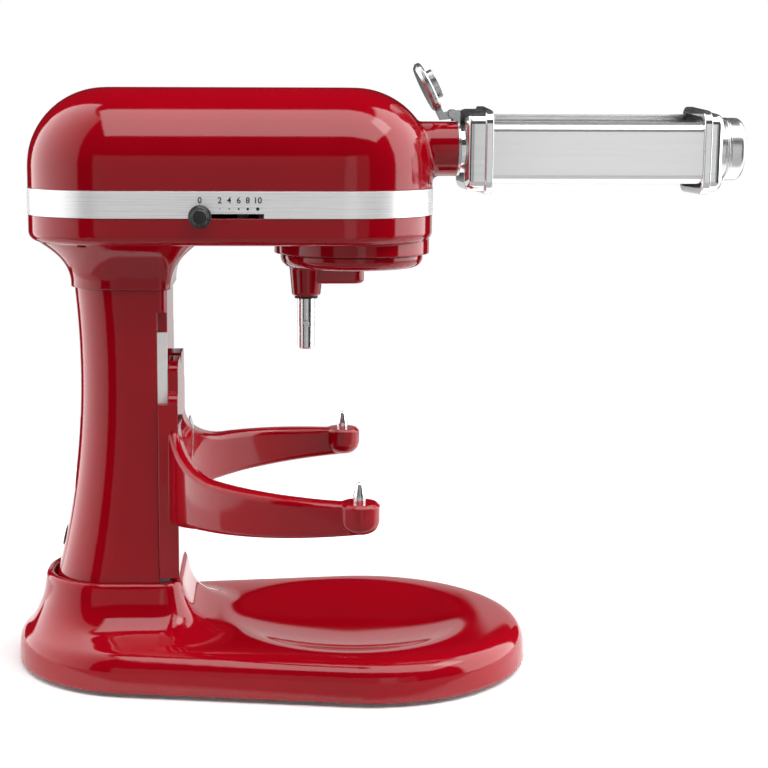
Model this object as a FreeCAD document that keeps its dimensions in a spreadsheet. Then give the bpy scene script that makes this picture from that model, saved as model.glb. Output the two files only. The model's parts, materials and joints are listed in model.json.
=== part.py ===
import FreeCAD, Part
import math
import os
import Sketcher

Vector = FreeCAD.Vector
doc = FreeCAD.newDocument("stand_mixer")

# Driving sizes in millimetres and degrees: x runs forward, y away from the dial side, z up from the table
sizes = {
    # Overall layout
    "planet_x": -18,
    "running_gap": 0.3,
    "shaft_gap": 0.08,
    # Base
    "foot_height": 2.5,
    "foot_radius": 11,
    "foot_stem_radius": 4,
    "foot_inset": 26,
    "base_front_radius": 117,
    "base_front_offset": 13,
    "base_rear_radius": 96,
    "base_tail": 21,
    "base_edge_height": 31,
    "base_edge_round": 14,
    "base_draft": 3,
    "base_wall": 7,
    "base_roof": 7,
    "base_cover_lip": 4,
    "base_cover_thick": 1.5,
    "dish_radius": 86,
    "dish_floor_radius": 42,
    "dish_depth": 10,
    "collar_rise": 38,
    "collar_wall": 6.5,
    "collar_front_wall": 9.5,
    "collar_half_width": 51.5,
    "collar_rear_flare": 13,
    "collar_front_flare": 40,
    "collar_side_flare": 33,
    "collar_corner": 16,
    "collar_corner_growth": 40,
    "collar_round": 4,
    "collar_floor": 8,
    "collar_socket_depth": 10,
    # Column
    "column_reach": 130.5,
    "column_top": 277,
    "waist_drop": 64,
    "column_foot_depth": 86,
    "column_waist_depth": 64.5,
    "column_top_depth": 67.8,
    "column_foot_half": 47,
    "column_waist_half": 40,
    "column_top_half": 40.5,
    "column_corner": 5,
    "column_wall": 5,
    "column_floor": 8,
    "rail_width": 7,
    "rail_half_span": 40,
    "rail_thick": 3.5,
    "rail_drop": 30,
    "groove_drop": 16,
    "cable_radius": 8,
    "grommet_height": 92,
    "grommet_radius": 8,
    "grommet_proud": 0.8,
    # Head
    "head_overhang": 32.4,
    "head_front": 57.3,
    "head_half_width": 66,
    "neck_height": 32,
    "head_height": 107.5,
    "crown_half_width": 10,
    "head_bottom_round": 7,
    "head_wall": 5,
    "head_floor": 5,
    "seam_rise": 9,
    "band_rise": 19,
    "band_height": 18.3,
    "band_thick": 1.8,
    "band_proud": 0.4,
    "neck_lip": 2.5,
    "neck_straight": 3,
    "neck_rear_flare": 26,
    "neck_front_flare": 22,
    "neck_side_flare": 15,
    # Planetary drive
    "rim_wall": 3,
    "rim_drop": 8.5,
    "carrier_gap": 0.7,
    "carrier_inset": 1.5,
    "carrier_depth": 9.9,
    "carrier_hub_gap": 1.25,
    "carrier_hub_rise": 5,
    "carrier_round": 7,
    "gear_module": 2.5,
    "ring_teeth": 38,
    "planet_teeth": 12,
    "ring_wall": 1.9,
    "planet_gear_width": 6.5,
    "gear_backlash": 0.8,
    "boss_wall": 2.2,
    "boss_taper": 1.5,
    "boss_round": 2.5,
    "boss_flare": 2.5,
    "boss_length": 21.6,
    "rib_depth": 12.6,
    "rib_round": 3,
    "rib_half_width": 9,
    "rib_end": 9,
    "rib_end_radius": 7.5,
    "beater_shaft_radius": 6.3,
    "beater_tip_step": 0.3,
    "beater_tip_length": 16.5,
    "beater_reach": 38.2,
    "beater_pin_rise": 19,
    "beater_pin_radius": 2,
    "beater_pin_stand": 4.2,
    "bush_wall": 2,
    "washer_wall": 2,
    "washer_thick": 1.4,
    "planet_shaft_radius": 8,
    "bearing_wall": 5,
    "bearing_width": 10,
    # Gear train in the head
    "hub_rise": 65,
    "spur_teeth": 32,
    "spur_pinion_teeth": 11,
    "spur_rise": 17,
    "spur_width": 8,
    "wheel_teeth": 16,
    "wheel_width": 10,
    "wheel_shaft_radius": 5,
    "worm_radius": 8,
    "worm_starts": 2,
    "worm_half_length": 10,
    "motor_rise": 51,
    "bevel_teeth": 20,
    "hub_bevel_teeth": 16,
    "bevel_face": 9,
    "bevel_hub_radius": 14,
    "bevel_hub_length": 6,
    "bridge_rise": 29,
    "bridge_thick": 5,
    "bridge_post_radius": 4,
    "bridge_side": 3.75,
    "bridge_front": 26,
    "bridge_rear": 22,
    # Motor
    "motor_shaft_radius": 4,
    "rotor_radius": 22,
    "rotor_length": 52,
    "rotor_back": 134,
    "stator_radius": 37,
    "stator_length": 48,
    "air_gap": 1,
    "commutator_radius": 12,
    "commutator_length": 16,
    "fan_radius": 30,
    "fan_width": 9,
    "motor_bearing_radius": 11,
    "motor_bearing_width": 8,
    # Attachment hub
    "hub_boss_wall": 2.7,
    "hub_boss_flare": 5,
    "hub_boss_reach": 16.7,
    "hub_ring_thick": 1.7,
    "sleeve_wall": 3.5,
    "hub_bore_radius": 13,
    "hub_bore_depth": 30,
    "hub_shaft_radius": 8,
    "socket_half": 4.3,
    "cap_inset": 0.7,
    "cap_thick": 5.4,
    "cap_plug_gap": 2.5,
    "cap_plug_height": 5,
    "cap_hinge_back": 3.3,
    "cap_hinge_stand": 5.3,
    "cap_hinge_radius": 2.7,
    "cap_hinge_half": 4,
    "cap_hinge_pin": 1.3,
    "cap_offset": 8,
    "cap_swing": 153,
    "ear_thick": 3,
    "thumb_screw_back": 12,
    "thumb_screw_radius": 4,
    "thumb_knob_radius": 9.5,
    "thumb_knob_length": 14,
    # Speed lever
    "lever_x": 105.6,
    "lever_travel": 38.5,
    "lever_half_width": 3.5,
    "lever_thick": 2,
    "lever_slot_height": 3.2,
    "speed_knob_radius": 7,
    "speed_knob_length": 9,
    "speed_knob_stand": 4,
    # Bowl yoke and lift
    "yoke_clearance": 2.5,
    "yoke_flange_height": 133.5,
    "yoke_head": 21,
    "yoke_plate_thick": 7,
    "yoke_side_thick": 6.2,
    "yoke_top_half": 40,
    "arm_root_overlap": 7.5,
    "arm_thick": 14,
    "arm_round": 4,
    "arm_rise": 75.8,
    "arm_slope": 4,
    "arm_swoop": 30,
    "arm_root_depth": 41.3,
    "arm_knee_depth": 31.3,
    "arm_tip_depth": 20.8,
    "arm_knee_reach": 16,
    "tip_radius": 13.5,
    "tip_round": 9,
    "bowl_pin_radius": 4.25,
    "bowl_pin_tip_radius": 2.1,
    "bowl_pin_straight": 4,
    "bowl_pin_height": 13,
    "clip_width": 12,
    "clip_thick": 1,
    "clip_rise": 32.7,
    "lift_travel": 34,
    "lift_clearance": 2,
    "lift_rise": 27.7,
    "crank_pin_radius": 3.5,
    "crank_slack": 4.2,
    "crank_web": 4,
    "lift_shaft_radius": 6,
    "link_half_thick": 3,
    "link_lug_half": 5.5,
    "lever_length": 84,
    "lever_arm_thick": 6,
    "lever_standoff": 6,
    "grip_radius": 9,
    "grip_length": 26,
    # Pasta roller attachment
    "unit_stand": 4.5,
    "unit_drop": 2.5,
    "inner_cap_length": 19.5,
    "outer_cap_length": 15,
    "unit_span": 148,
    "unit_margin": 7.5,
    "unit_half_height": 27,
    "unit_round": 9,
    "unit_end_round": 6,
    "unit_rim_width": 5.6,
    "unit_rim_proud": 2,
    "unit_slope": 4.5,
    "unit_wall": 2.4,
    "side_plate_thick": 5,
    "cover_thick": 1.6,
    "cover_half_height": 21.5,
    "cover_lip": 8,
    "tray_rise": 6,
    "roller_radius": 12,
    "roller_gap": 1,
    "roller_shaft_radius": 5,
    "roller_end_gap": 1,
    "roller_gear_teeth": 16,
    "roller_gear_width": 5,
    "block_half_width": 8,
    "block_half_height": 8,
    "gap_travel": 2.5,
    "spigot_gap": 0.1,
    "spigot_bore": 9.5,
    "spigot_length": 29,
    "spigot_collar_radius": 17,
    "gap_knob_radius": 22.3,
    "gap_knob_neck": 19.5,
    "gap_knob_length": 18.7,
    "gap_shaft_radius": 6,
    # Fasteners
    "screw_radius": 2.5,
    "screw_head_radius": 4.5,
    "screw_head_height": 3,
}
sheet = doc.addObject("Spreadsheet::Sheet", "cells")
for row, (alias, number) in enumerate(sizes.items(), 1):
    sheet.set(f"A{row}", alias.replace("_", " "))
    sheet.set(f"B{row}", str(number))
    sheet.setAlias(f"B{row}", alias)
doc.recompute()


# A size keeps the formula that it comes from, so that every feature can be bound to the sheet
class Size:
    def __init__(self, value, formula):
        self.value = float(value)
        self.formula = formula

    def __add__(self, other):
        other = as_size(other)
        return Size(self.value + other.value, f"({self.formula} + {other.formula})")

    def __sub__(self, other):
        other = as_size(other)
        return Size(self.value - other.value, f"({self.formula} - {other.formula})")

    def __mul__(self, other):
        other = as_size(other)
        return Size(self.value * other.value, f"({self.formula} * {other.formula})")

    def __truediv__(self, other):
        other = as_size(other)
        return Size(self.value / other.value, f"({self.formula} / {other.formula})")

    def __radd__(self, other):
        return as_size(other) + self

    def __rsub__(self, other):
        return as_size(other) - self

    def __rmul__(self, other):
        return as_size(other) * self

    def __neg__(self):
        return as_size(0) - self


def as_size(number):
    return number if isinstance(number, Size) else Size(number, repr(float(number)))


def root(number):
    number = as_size(number)
    return Size(math.sqrt(number.value), f"sqrt({number.formula})")


class Cells:
    pass


s = Cells()
for alias in sizes:
    setattr(s, alias, Size(getattr(sheet, alias), f"cells.{alias}"))

# Sizes and places that follow from the driving ones
s.collar_top = s.base_edge_height + s.collar_rise
s.collar_rear = s.column_reach + s.column_foot_depth + s.collar_wall
s.collar_front = s.column_reach - s.collar_front_wall
s.base_rear_offset = s.collar_rear + s.base_tail - s.base_rear_radius
s.column_waist_height = s.column_top - s.waist_drop
s.rail_top = s.column_top - s.rail_drop
s.rail_groove_top = s.column_top - s.groove_drop
s.head_bottom = s.column_top + s.neck_height
s.head_top = s.head_bottom + s.head_height
s.head_rear = s.column_reach + s.column_top_depth + s.head_overhang
s.head_round = s.head_half_width - s.crown_half_width
s.band_bottom = s.head_bottom + s.band_rise
s.band_top = s.band_bottom + s.band_height
s.seam_height = s.band_bottom + s.seam_rise
s.ring_rim_radius = s.gear_module * (s.ring_teeth / 2 + 1.25) + s.ring_wall
s.rim_radius = s.ring_rim_radius + s.rim_wall
s.rim_bottom = s.head_bottom - s.rim_drop
s.carrier_radius = s.ring_rim_radius - s.carrier_inset
s.carrier_bottom = s.rim_bottom - s.carrier_depth
s.beater_offset = s.gear_module * (s.ring_teeth - s.planet_teeth) / 2
s.carrier_hub_radius = s.beater_offset - s.gear_module * (s.planet_teeth / 2 + 0.9) - s.carrier_hub_gap
s.boss_radius = s.beater_shaft_radius + s.bush_wall + s.boss_wall
s.boss_bottom = s.carrier_bottom - s.boss_length
s.rib_bottom = s.carrier_bottom - s.rib_depth
s.beater_tip_radius = s.beater_shaft_radius - s.beater_tip_step
s.beater_tip = s.boss_bottom - s.beater_reach
s.beater_pin_height = s.beater_tip + s.beater_pin_rise
s.beater_pin_half = s.beater_shaft_radius + s.beater_pin_stand
s.washer_radius = s.beater_shaft_radius + s.washer_wall
s.hub_height = s.head_bottom + s.hub_rise
s.spur_bottom = s.head_bottom + s.spur_rise
s.motor_height = s.head_bottom + s.motor_rise
s.bridge_bottom = s.head_bottom + s.bridge_rise
s.bridge_half_width = s.gear_module * (s.spur_teeth / 2 + 0.9) + s.bridge_side
s.hub_sleeve_radius = s.hub_bore_radius + s.sleeve_wall
s.hub_boss_radius = s.hub_sleeve_radius + s.hub_boss_wall
s.hub_boss_front = s.head_front + s.hub_boss_reach
s.tail_half = s.socket_half - s.running_gap
s.cap_radius = s.hub_boss_radius - s.cap_inset
s.cap_plug_radius = s.hub_bore_radius - s.cap_plug_gap
s.cap_hinge_rise = s.hub_boss_radius + s.cap_hinge_stand
s.speed_knob_reach = s.head_half_width + s.speed_knob_stand
s.yoke_bottom = s.collar_top + s.yoke_clearance
s.yoke_flange_top = s.yoke_bottom + s.yoke_flange_height
s.yoke_top = s.yoke_flange_top + s.yoke_head
s.arm_outer_radius = s.column_reach + s.arm_root_overlap
s.bowl_pin_reach = s.arm_outer_radius - s.arm_thick / 2
s.arm_top_tip = s.yoke_bottom + s.arm_rise
s.arm_low_root = s.arm_top_tip - s.arm_root_depth
s.arm_low_knee = s.arm_top_tip - s.arm_knee_depth
s.arm_low_tip = s.arm_top_tip - s.arm_tip_depth
s.clip_top = s.arm_top_tip + s.clip_rise
s.lift_axis_height = s.arm_top_tip + s.lift_rise
s.roller_pitch = s.roller_radius * 2 + s.roller_gap
s.unit_y = s.roller_pitch / 2
s.unit_half_depth = s.unit_y + s.roller_radius + s.unit_margin
s.unit_start = s.hub_boss_front + s.unit_stand
s.spigot_radius = s.hub_bore_radius - s.spigot_gap

nodes = []


def node(item):
    nodes.append(item)
    return item


def bind(item, prop, size):
    item.setExpression(prop, as_size(size).formula)


def place(item, x=0, y=0, z=0, axis=(0, 0, 1), angle=0):
    corner = [as_size(size) for size in (x, y, z)]
    turned = FreeCAD.Rotation(Vector(*axis), as_size(angle).value)
    item.Placement = FreeCAD.Placement(Vector(*[size.value for size in corner]), turned)
    for key, size in zip("xyz", corner):
        bind(item, f"Placement.Base.{key}", size)
    if isinstance(angle, Size):
        bind(item, "Placement.Rotation.Angle", angle)
    return item


turned_to = {"x": ((0, 1, 0), 90), "y": ((1, 0, 0), -90), "z": ((0, 0, 1), 0)}


def rod(name, radius, length, x=0, y=0, z=0, along="z"):
    item = doc.addObject("Part::Cylinder", name)
    bind(item, "Radius", radius)
    bind(item, "Height", length)
    return place(item, x, y, z, *turned_to[along])


def block(name, low, high):
    item = doc.addObject("Part::Box", name)
    for prop, start, end in zip(("Length", "Width", "Height"), low, high):
        bind(item, prop, as_size(end) - start)
    return place(item, *low)


def fuse(name, *parts):
    item = doc.addObject("Part::MultiFuse", name)
    item.Shapes = list(parts)
    return item


def cut(name, base, *tools):
    item = doc.addObject("Part::Cut", name)
    item.Base = base
    item.Tool = tools[0] if len(tools) == 1 else fuse(f"{name}_cuts", *tools)
    return item


def common(name, first, second):
    item = doc.addObject("Part::Common", name)
    item.Base, item.Tool = first, second
    return item


def group(name, *parts):
    item = doc.addObject("Part::Compound", name)
    item.Links = list(parts)
    return item


def tube(name, inner, outer, length, x=0, y=0, z=0, along="z"):
    hole = rod(f"{name}_bore", inner, length, x, y, z, along)
    return cut(name, rod(f"{name}_outside", outer, length, x, y, z, along), hole)


def body(name, x=0, y=0, z=0):
    return place(doc.addObject("PartDesign::Body", name), x, y, z)


def sketch(owner, name, plane, offset=0):
    item = owner.newObject("Sketcher::SketchObject", name)
    support = next(part for part in owner.Origin.OriginFeatures if part.Role == plane)
    item.AttachmentSupport = [(support, "")]
    item.MapMode = "FlatFace"
    bind(item, "AttachmentOffset.Base.z", offset)
    return item


def bound(item, kind, *where, size):
    number = item.addConstraint(Sketcher.Constraint(kind, *where, as_size(size).value))
    bind(item, f"Constraints[{number}]", size)


def arc_through(first, middle, last):
    circle = Part.Circle(first, middle, last)
    angles = [math.atan2(p.y - circle.Center.y, p.x - circle.Center.x) for p in (first, last)]
    return Part.Circle(circle.Center, Vector(0, 0, 1), circle.Radius), angles


# Draws a closed outline: a step is a corner, or a corner, a radius and a point that the arc passes
def draw(item, start, *steps):
    pieces = []
    here = start
    for step in steps:
        first = Vector(as_size(here[0]).value, as_size(here[1]).value)
        last = Vector(as_size(step[0]).value, as_size(step[1]).value)
        if len(step) == 2:
            pieces.append((item.addGeometry(Part.LineSegment(first, last)), 1, 2))
        else:
            middle = Vector(as_size(step[3][0]).value, as_size(step[3][1]).value)
            circle, angles = arc_through(first, middle, last)
            left = (middle - first).cross(last - middle).z > 0
            span = angles if left else angles[::-1]
            if span[1] < span[0]:
                span = [span[0], span[1] + 2 * math.pi]
            ends = (1, 2) if left else (2, 1)
            pieces.append((item.addGeometry(Part.ArcOfCircle(circle, *span)), *ends))
        here = step
    for (one, _, end), (two, begin, _) in zip(pieces, pieces[1:] + pieces[:1]):
        item.addConstraint(Sketcher.Constraint("Coincident", one, end, two, begin))
    for (index, begin, _), corner in zip(pieces, (start,) + steps):
        bound(item, "DistanceX", index, begin, size=corner[0])
        bound(item, "DistanceY", index, begin, size=corner[1])
    for (index, _, _), step in zip(pieces, steps):
        if len(step) > 2:
            bound(item, "Radius", index, size=step[2])
    return item


half_turn = math.sqrt(0.5)


# A rectangle about the x axis with its own corner radius at each end
def rounded(item, rear, front, half, rear_round, front_round):
    nip = 1 - math.sqrt(0.5)
    return draw(
        item,
        (rear + rear_round, -half),
        (front - front_round, -half),
        (front, front_round - half, front_round, (front - front_round * nip, front_round * nip - half)),
        (front, half - front_round),
        (front - front_round, half, front_round, (front - front_round * nip, half - front_round * nip)),
        (rear + rear_round, half),
        (rear, half - rear_round, rear_round, (rear + rear_round * nip, half - rear_round * nip)),
        (rear, rear_round - half),
        (rear + rear_round, -half, rear_round, (rear + rear_round * nip, rear_round * nip - half)),
    )


# Two circles on the x axis with their shared tangents
def egg(item, rear, rear_radius, front, front_radius):
    lean = (as_size(front_radius) - rear_radius) / (front - rear)
    rise = root(1 - lean * lean)
    rear_x, rear_y = rear - rear_radius * lean, rear_radius * rise
    front_x, front_y = front - front_radius * lean, front_radius * rise
    return draw(
        item,
        (rear_x, -rear_y),
        (front_x, -front_y),
        (front_x, front_y, front_radius, (front + front_radius, 0)),
        (rear_x, rear_y),
        (rear_x, -rear_y, rear_radius, (rear - rear_radius, 0)),
    )


def pad(owner, profile, length, both=False, back=False, draft=None):
    item = owner.newObject("PartDesign::Pad", f"{profile.Name}_pad")
    item.Profile = profile
    bind(item, "Length", length)
    item.SideType = "Symmetric" if both else "One side"
    item.Reversed = back
    if draft is not None:
        bind(item, "TaperAngle", -draft)
    return item


def loft(owner, sections, kind="AdditiveLoft"):
    item = owner.newObject(f"PartDesign::{kind}", f"{sections[0].Name}_loft")
    item.Profile = sections[0]
    item.Sections = sections[1:]
    return item


def revolve(owner, profile, axis="V_Axis"):
    item = owner.newObject("PartDesign::Revolution", f"{profile.Name}_turned")
    item.Profile = profile
    item.ReferenceAxis = (profile, [axis])
    item.Angle = 360
    return item


def round_edges(owner, feature, radius, chosen):
    doc.recompute()
    names = [f"Edge{i}" for i, edge in enumerate(feature.Shape.Edges, 1) if chosen(edge)]
    item = owner.newObject("PartDesign::Fillet", f"{feature.Name}_rounded")
    item.Base = (feature, names)
    bind(item, "Radius", radius)
    return item


# A fillet on edges of a boolean result
def soften(name, base, radius, chosen):
    doc.recompute()
    item = doc.addObject("Part::Fillet", name)
    item.Base = base
    radius = as_size(radius).value
    item.Edges = [(n, radius, radius) for n, edge in enumerate(base.Shape.Edges, 1) if chosen(edge)]
    return item


def level(height):
    height = as_size(height).value
    return lambda edge: all(abs(v.Z - height) < 1e-4 for v in edge.Vertexes) and edge.BoundBox.ZLength < 1e-4


# Shared positions
planet = s.planet_x
column_front = planet - s.column_reach
head_rear_axis = planet - s.head_rear + s.head_half_width
head_front_axis = planet + s.head_front - s.head_half_width
hub_front = planet + s.hub_boss_front
beater_x = planet - s.beater_offset

# Base: drafted foot with a rounded rim, a flared collar for the column and a dish under the bowl
base_rear = planet - s.base_rear_offset
base_front = planet + s.base_front_offset
base_body = body("base_body")
base_plan = egg(
    sketch(base_body, "base_plan", "XY_Plane", s.foot_height),
    base_rear, s.base_rear_radius, base_front, s.base_front_radius,
)
base_pad = pad(base_body, base_plan, s.base_edge_height - s.foot_height, draft=s.base_draft)
round_edges(base_body, base_pad, s.base_edge_round, level(s.base_edge_height))
collar_foot = s.base_edge_height - 3
collar_sections = []
for number, drop in enumerate((1, 0.8, 0.55, 0.28, 0)):
    spread = drop * drop
    height = s.collar_top - (s.collar_top - collar_foot) * drop
    half = s.collar_half_width + s.collar_side_flare * spread
    section = sketch(base_body, f"collar_section_{number}", "XY_Plane", height)
    rounded(
        section,
        planet - s.collar_rear - s.collar_rear_flare * spread,
        planet - s.collar_front + s.collar_front_flare * spread,
        half,
        half - 4,
        s.collar_corner + s.collar_corner_growth * spread,
    )
    collar_sections.append(section)
collar = loft(base_body, collar_sections)
round_edges(base_body, collar, s.collar_round, level(s.collar_top))

dish_body = body("dish_body", planet, 0, s.base_edge_height)
dish_run = (s.dish_radius - s.dish_floor_radius) / 2
dish_fall = s.dish_depth / 2
dish_bend = (dish_run * dish_run + dish_fall * dish_fall) / s.dish_depth
dish_middle = s.dish_floor_radius + dish_run
dish_profile = draw(
    sketch(dish_body, "dish_profile", "XZ_Plane"),
    (0, s.dish_depth),
    (0, -s.dish_depth),
    (s.dish_floor_radius, -s.dish_depth),
    (dish_middle, -dish_fall, dish_bend, (dish_middle - dish_run / 2, dish_fall / 4 - s.dish_depth)),
    (s.dish_radius, 0, dish_bend, (dish_middle + dish_run / 2, -dish_fall / 4)),
    (s.dish_radius, s.dish_depth),
    (0, s.dish_depth),
)
revolve(dish_body, dish_profile)

# Hollow underside with a ledge for the cover, and the socket that takes the column's foot
base_hollow = body("base_hollow")
cover_top = s.foot_height + s.base_cover_thick
cover_plan = egg(
    sketch(base_hollow, "cover_recess", "XY_Plane", s.foot_height),
    base_rear, s.base_rear_radius - s.base_cover_lip, base_front, s.base_front_radius - s.base_cover_lip,
)
pad(base_hollow, cover_plan, s.base_cover_thick)
hollow_plan = egg(
    sketch(base_hollow, "hollow_plan", "XY_Plane", s.foot_height),
    base_rear, s.base_rear_radius - s.base_wall, base_front, s.base_front_radius - s.base_wall,
)
hollow_top = s.base_edge_height - s.dish_depth - s.base_roof
pad(base_hollow, hollow_plan, hollow_top - s.foot_height)
dish_underside = rod("dish_underside", dish_middle + dish_run / 2, s.base_edge_height, planet, 0, 0)
rim_hollow = body("rim_hollow")
pad(rim_hollow, egg(
    sketch(rim_hollow, "rim_hollow_plan", "XY_Plane", s.foot_height),
    base_rear, s.base_rear_radius - s.base_wall, base_front, s.base_front_radius - s.base_wall,
), s.base_edge_height - s.base_roof - s.foot_height)
rim_pocket = cut("rim_pocket", rim_hollow, dish_underside)
column_seat = s.collar_top - s.collar_socket_depth
tower = rounded(
    sketch(base_hollow, "tower_plan", "XY_Plane", s.foot_height),
    column_front - s.column_foot_depth, column_front, s.column_foot_half - s.column_wall,
    as_size(30), as_size(8),
)
pad(base_hollow, tower, column_seat - s.collar_floor - s.foot_height)
socket_body = body("socket_body")
socket_plan = rounded(
    sketch(socket_body, "socket_plan", "XY_Plane", column_seat),
    column_front - s.column_foot_depth - s.running_gap,
    column_front + s.running_gap,
    s.column_foot_half + s.running_gap,
    s.column_foot_half - 4 + s.running_gap,
    s.column_corner + s.running_gap,
)
pad(socket_body, socket_plan, s.collar_socket_depth + 1)
screw_spots = [
    (column_front - s.column_foot_depth * along, s.column_foot_half * across)
    for along in (0.2, 0.62) for across in (-0.62, 0.62)
]
screw_holes = [
    rod(f"base_screw_hole_{n}", s.screw_radius, s.collar_floor + 2, x, y, column_seat - s.collar_floor - 1)
    for n, (x, y) in enumerate(screw_spots)
]
base_cable = rod(
    "base_cable_hole", s.cable_radius, s.collar_floor + 2, column_front - s.column_foot_depth / 2, 0,
    column_seat - s.collar_floor - 1,
)
node(cut("base", base_body, dish_body, base_hollow, rim_pocket, socket_body, base_cable, *screw_holes))

# Cover plate and push-in rubber feet
foot_spots = [
    (base_front + (s.base_front_radius - s.foot_inset) * math.cos(math.radians(turn)),
     (s.base_front_radius - s.foot_inset) * math.sin(math.radians(turn)))
    for turn in (0, 75, -75)
] + [
    (base_rear - (s.base_rear_radius - s.foot_inset) * 0.5, (s.base_rear_radius - s.foot_inset) * side)
    for side in (-0.8, 0.8)
]
cover_body = body("cover_body")
pad(cover_body, egg(
    sketch(cover_body, "cover_plan", "XY_Plane", s.foot_height),
    base_rear, s.base_rear_radius - s.base_cover_lip - s.running_gap,
    base_front, s.base_front_radius - s.base_cover_lip - s.running_gap,
), s.base_cover_thick)
stem_holes = [
    rod(f"stem_hole_{n}", s.foot_stem_radius, s.base_cover_thick + 2, x, y, s.foot_height - 1)
    for n, (x, y) in enumerate(foot_spots)
]
node(cut("base_cover", cover_body, *stem_holes))
feet = []
for n, (x, y) in enumerate(foot_spots):
    foot = body(f"foot_{n}", x, y)
    revolve(foot, draw(
        sketch(foot, f"foot_profile_{n}", "XZ_Plane"),
        (0, 0), (s.foot_radius - 2, 0), (s.foot_radius, s.foot_height), (s.foot_stem_radius, s.foot_height),
        (s.foot_stem_radius, cover_top), (s.foot_stem_radius + 1.5, cover_top),
        (s.foot_stem_radius - 1, cover_top + 4), (0, cover_top + 4), (0, 0),
    ))
    feet.append(foot)
node(group("rubber_feet", *feet))

# Column: hollow, waisted at the back, with a rabbet for a steel guide rail along each front corner
column_body = body("column_body")
column_rises = [(s.column_waist_height - (s.column_waist_height - column_seat) * drop, drop * drop)
                for drop in (1, 0.7, 0.4, 0)]
column_outlines = [
    (height, s.column_waist_depth + (s.column_foot_depth - s.column_waist_depth) * spread,
     s.column_waist_half + (s.column_foot_half - s.column_waist_half) * spread)
    for height, spread in column_rises
] + [(s.column_top, s.column_top_depth, s.column_top_half)]
loft(column_body, [
    rounded(sketch(column_body, f"column_outside_{n}", "XY_Plane", height),
            column_front - depth, column_front, half, half - 4, s.column_corner)
    for n, (height, depth, half) in enumerate(column_outlines)
])
column_core = body("column_core")
core_half = s.column_waist_half - s.column_wall
core_floor = column_seat + s.column_floor
pad(column_core, rounded(
    sketch(column_core, "column_inside", "XY_Plane", core_floor),
    column_front - s.column_waist_depth + s.column_wall, column_front - s.column_wall,
    core_half, core_half - 4,
    s.column_corner,
), s.column_top + 1 - core_floor)
rail_inner = s.rail_half_span - s.rail_thick
rabbets = [
    block(
        f"rabbet_{n}", (column_front - s.rail_width, low, column_seat - 1),
        (column_front + 1, high, s.rail_groove_top),
    )
    for n, (low, high) in enumerate(((rail_inner, rail_inner + 20), (-rail_inner - 20, -rail_inner)))
]
crank_throw = s.lift_travel / 2
slot_end, link_end = 2, 4
link_reach = crank_throw + s.crank_pin_radius + slot_end + link_end
lift_x = column_front - s.column_waist_depth + s.column_wall + s.lift_clearance + link_reach
link_low = s.lift_axis_height - crank_throw
link_half = s.crank_pin_radius + s.crank_slack + 5
front_slot = block(
    "front_slot",
    (column_front - s.column_wall - 3, -s.link_lug_half - 1, link_low - link_half - 1),
    (column_front + 1, s.link_lug_half + 1, link_low + link_half + s.lift_travel + 1),
)
bush_outer = s.lift_shaft_radius + s.bush_wall
lift_hole = rod(
    "lift_hole", bush_outer, s.column_waist_half, lift_x, s.column_waist_half / 2, s.lift_axis_height, "y",
)
grommet_rise = (s.column_waist_height - s.grommet_height) / (s.column_waist_height - column_seat)
foot_flare = s.column_foot_depth - s.column_waist_depth
grommet_depth = s.column_waist_depth + foot_flare * grommet_rise * grommet_rise
grommet_x = column_front - grommet_depth - s.running_gap
grommet_slope = foot_flare * grommet_rise * 2 / (s.column_waist_height - column_seat)
grommet_tilt = math.degrees(math.atan(grommet_slope.value))
grommet_start = s.grommet_radius / root(1 + grommet_slope * grommet_slope)
grommet_wall = grommet_depth - s.column_waist_depth + s.column_wall
grommet_hole = place(rod("grommet_hole", s.grommet_radius - 2, grommet_wall + s.grommet_radius * 2),
                     grommet_x - grommet_start, 0, s.grommet_height + grommet_start * grommet_slope,
                     (0, 1, 0), 90 + grommet_tilt)
column_cable = rod(
    "column_cable_hole", s.cable_radius, s.column_floor + 2, column_front - s.column_foot_depth / 2, 0,
    column_seat - 1,
)
column_screw_holes = [
    rod(f"column_screw_hole_{n}", s.screw_radius, s.column_floor - 1, x, y, column_seat - 0.5)
    for n, (x, y) in enumerate(screw_spots)
]
node(cut("column", column_body, column_core, front_slot, lift_hole, grommet_hole, column_cable,
         *rabbets, *column_screw_holes))
node(group("guide_rails", *[
    block(
        f"guide_rail_{n}", (column_front - s.rail_width, low, column_seat),
        (column_front, low + s.rail_thick, s.rail_top),
    )
    for n, low in enumerate((rail_inner, -s.rail_half_span))
]))

# Lift lever: a crank in the column works in the slot of the link that carries the yoke
crank_y = s.link_half_thick + 0.8
crank_thick = 6
lever_y = s.column_waist_half + s.lever_standoff
sleeve_start = s.column_waist_half - s.column_wall - 1
node(tube("lift_bush", s.lift_shaft_radius + s.shaft_gap, bush_outer, lever_y - 1 - sleeve_start,
          lift_x, sleeve_start, s.lift_axis_height, "y"))


def hanging(name, y):
    return place(doc.addObject("PartDesign::Body", name), lift_x, y, s.lift_axis_height, (0, 1, 0), 90)


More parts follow.
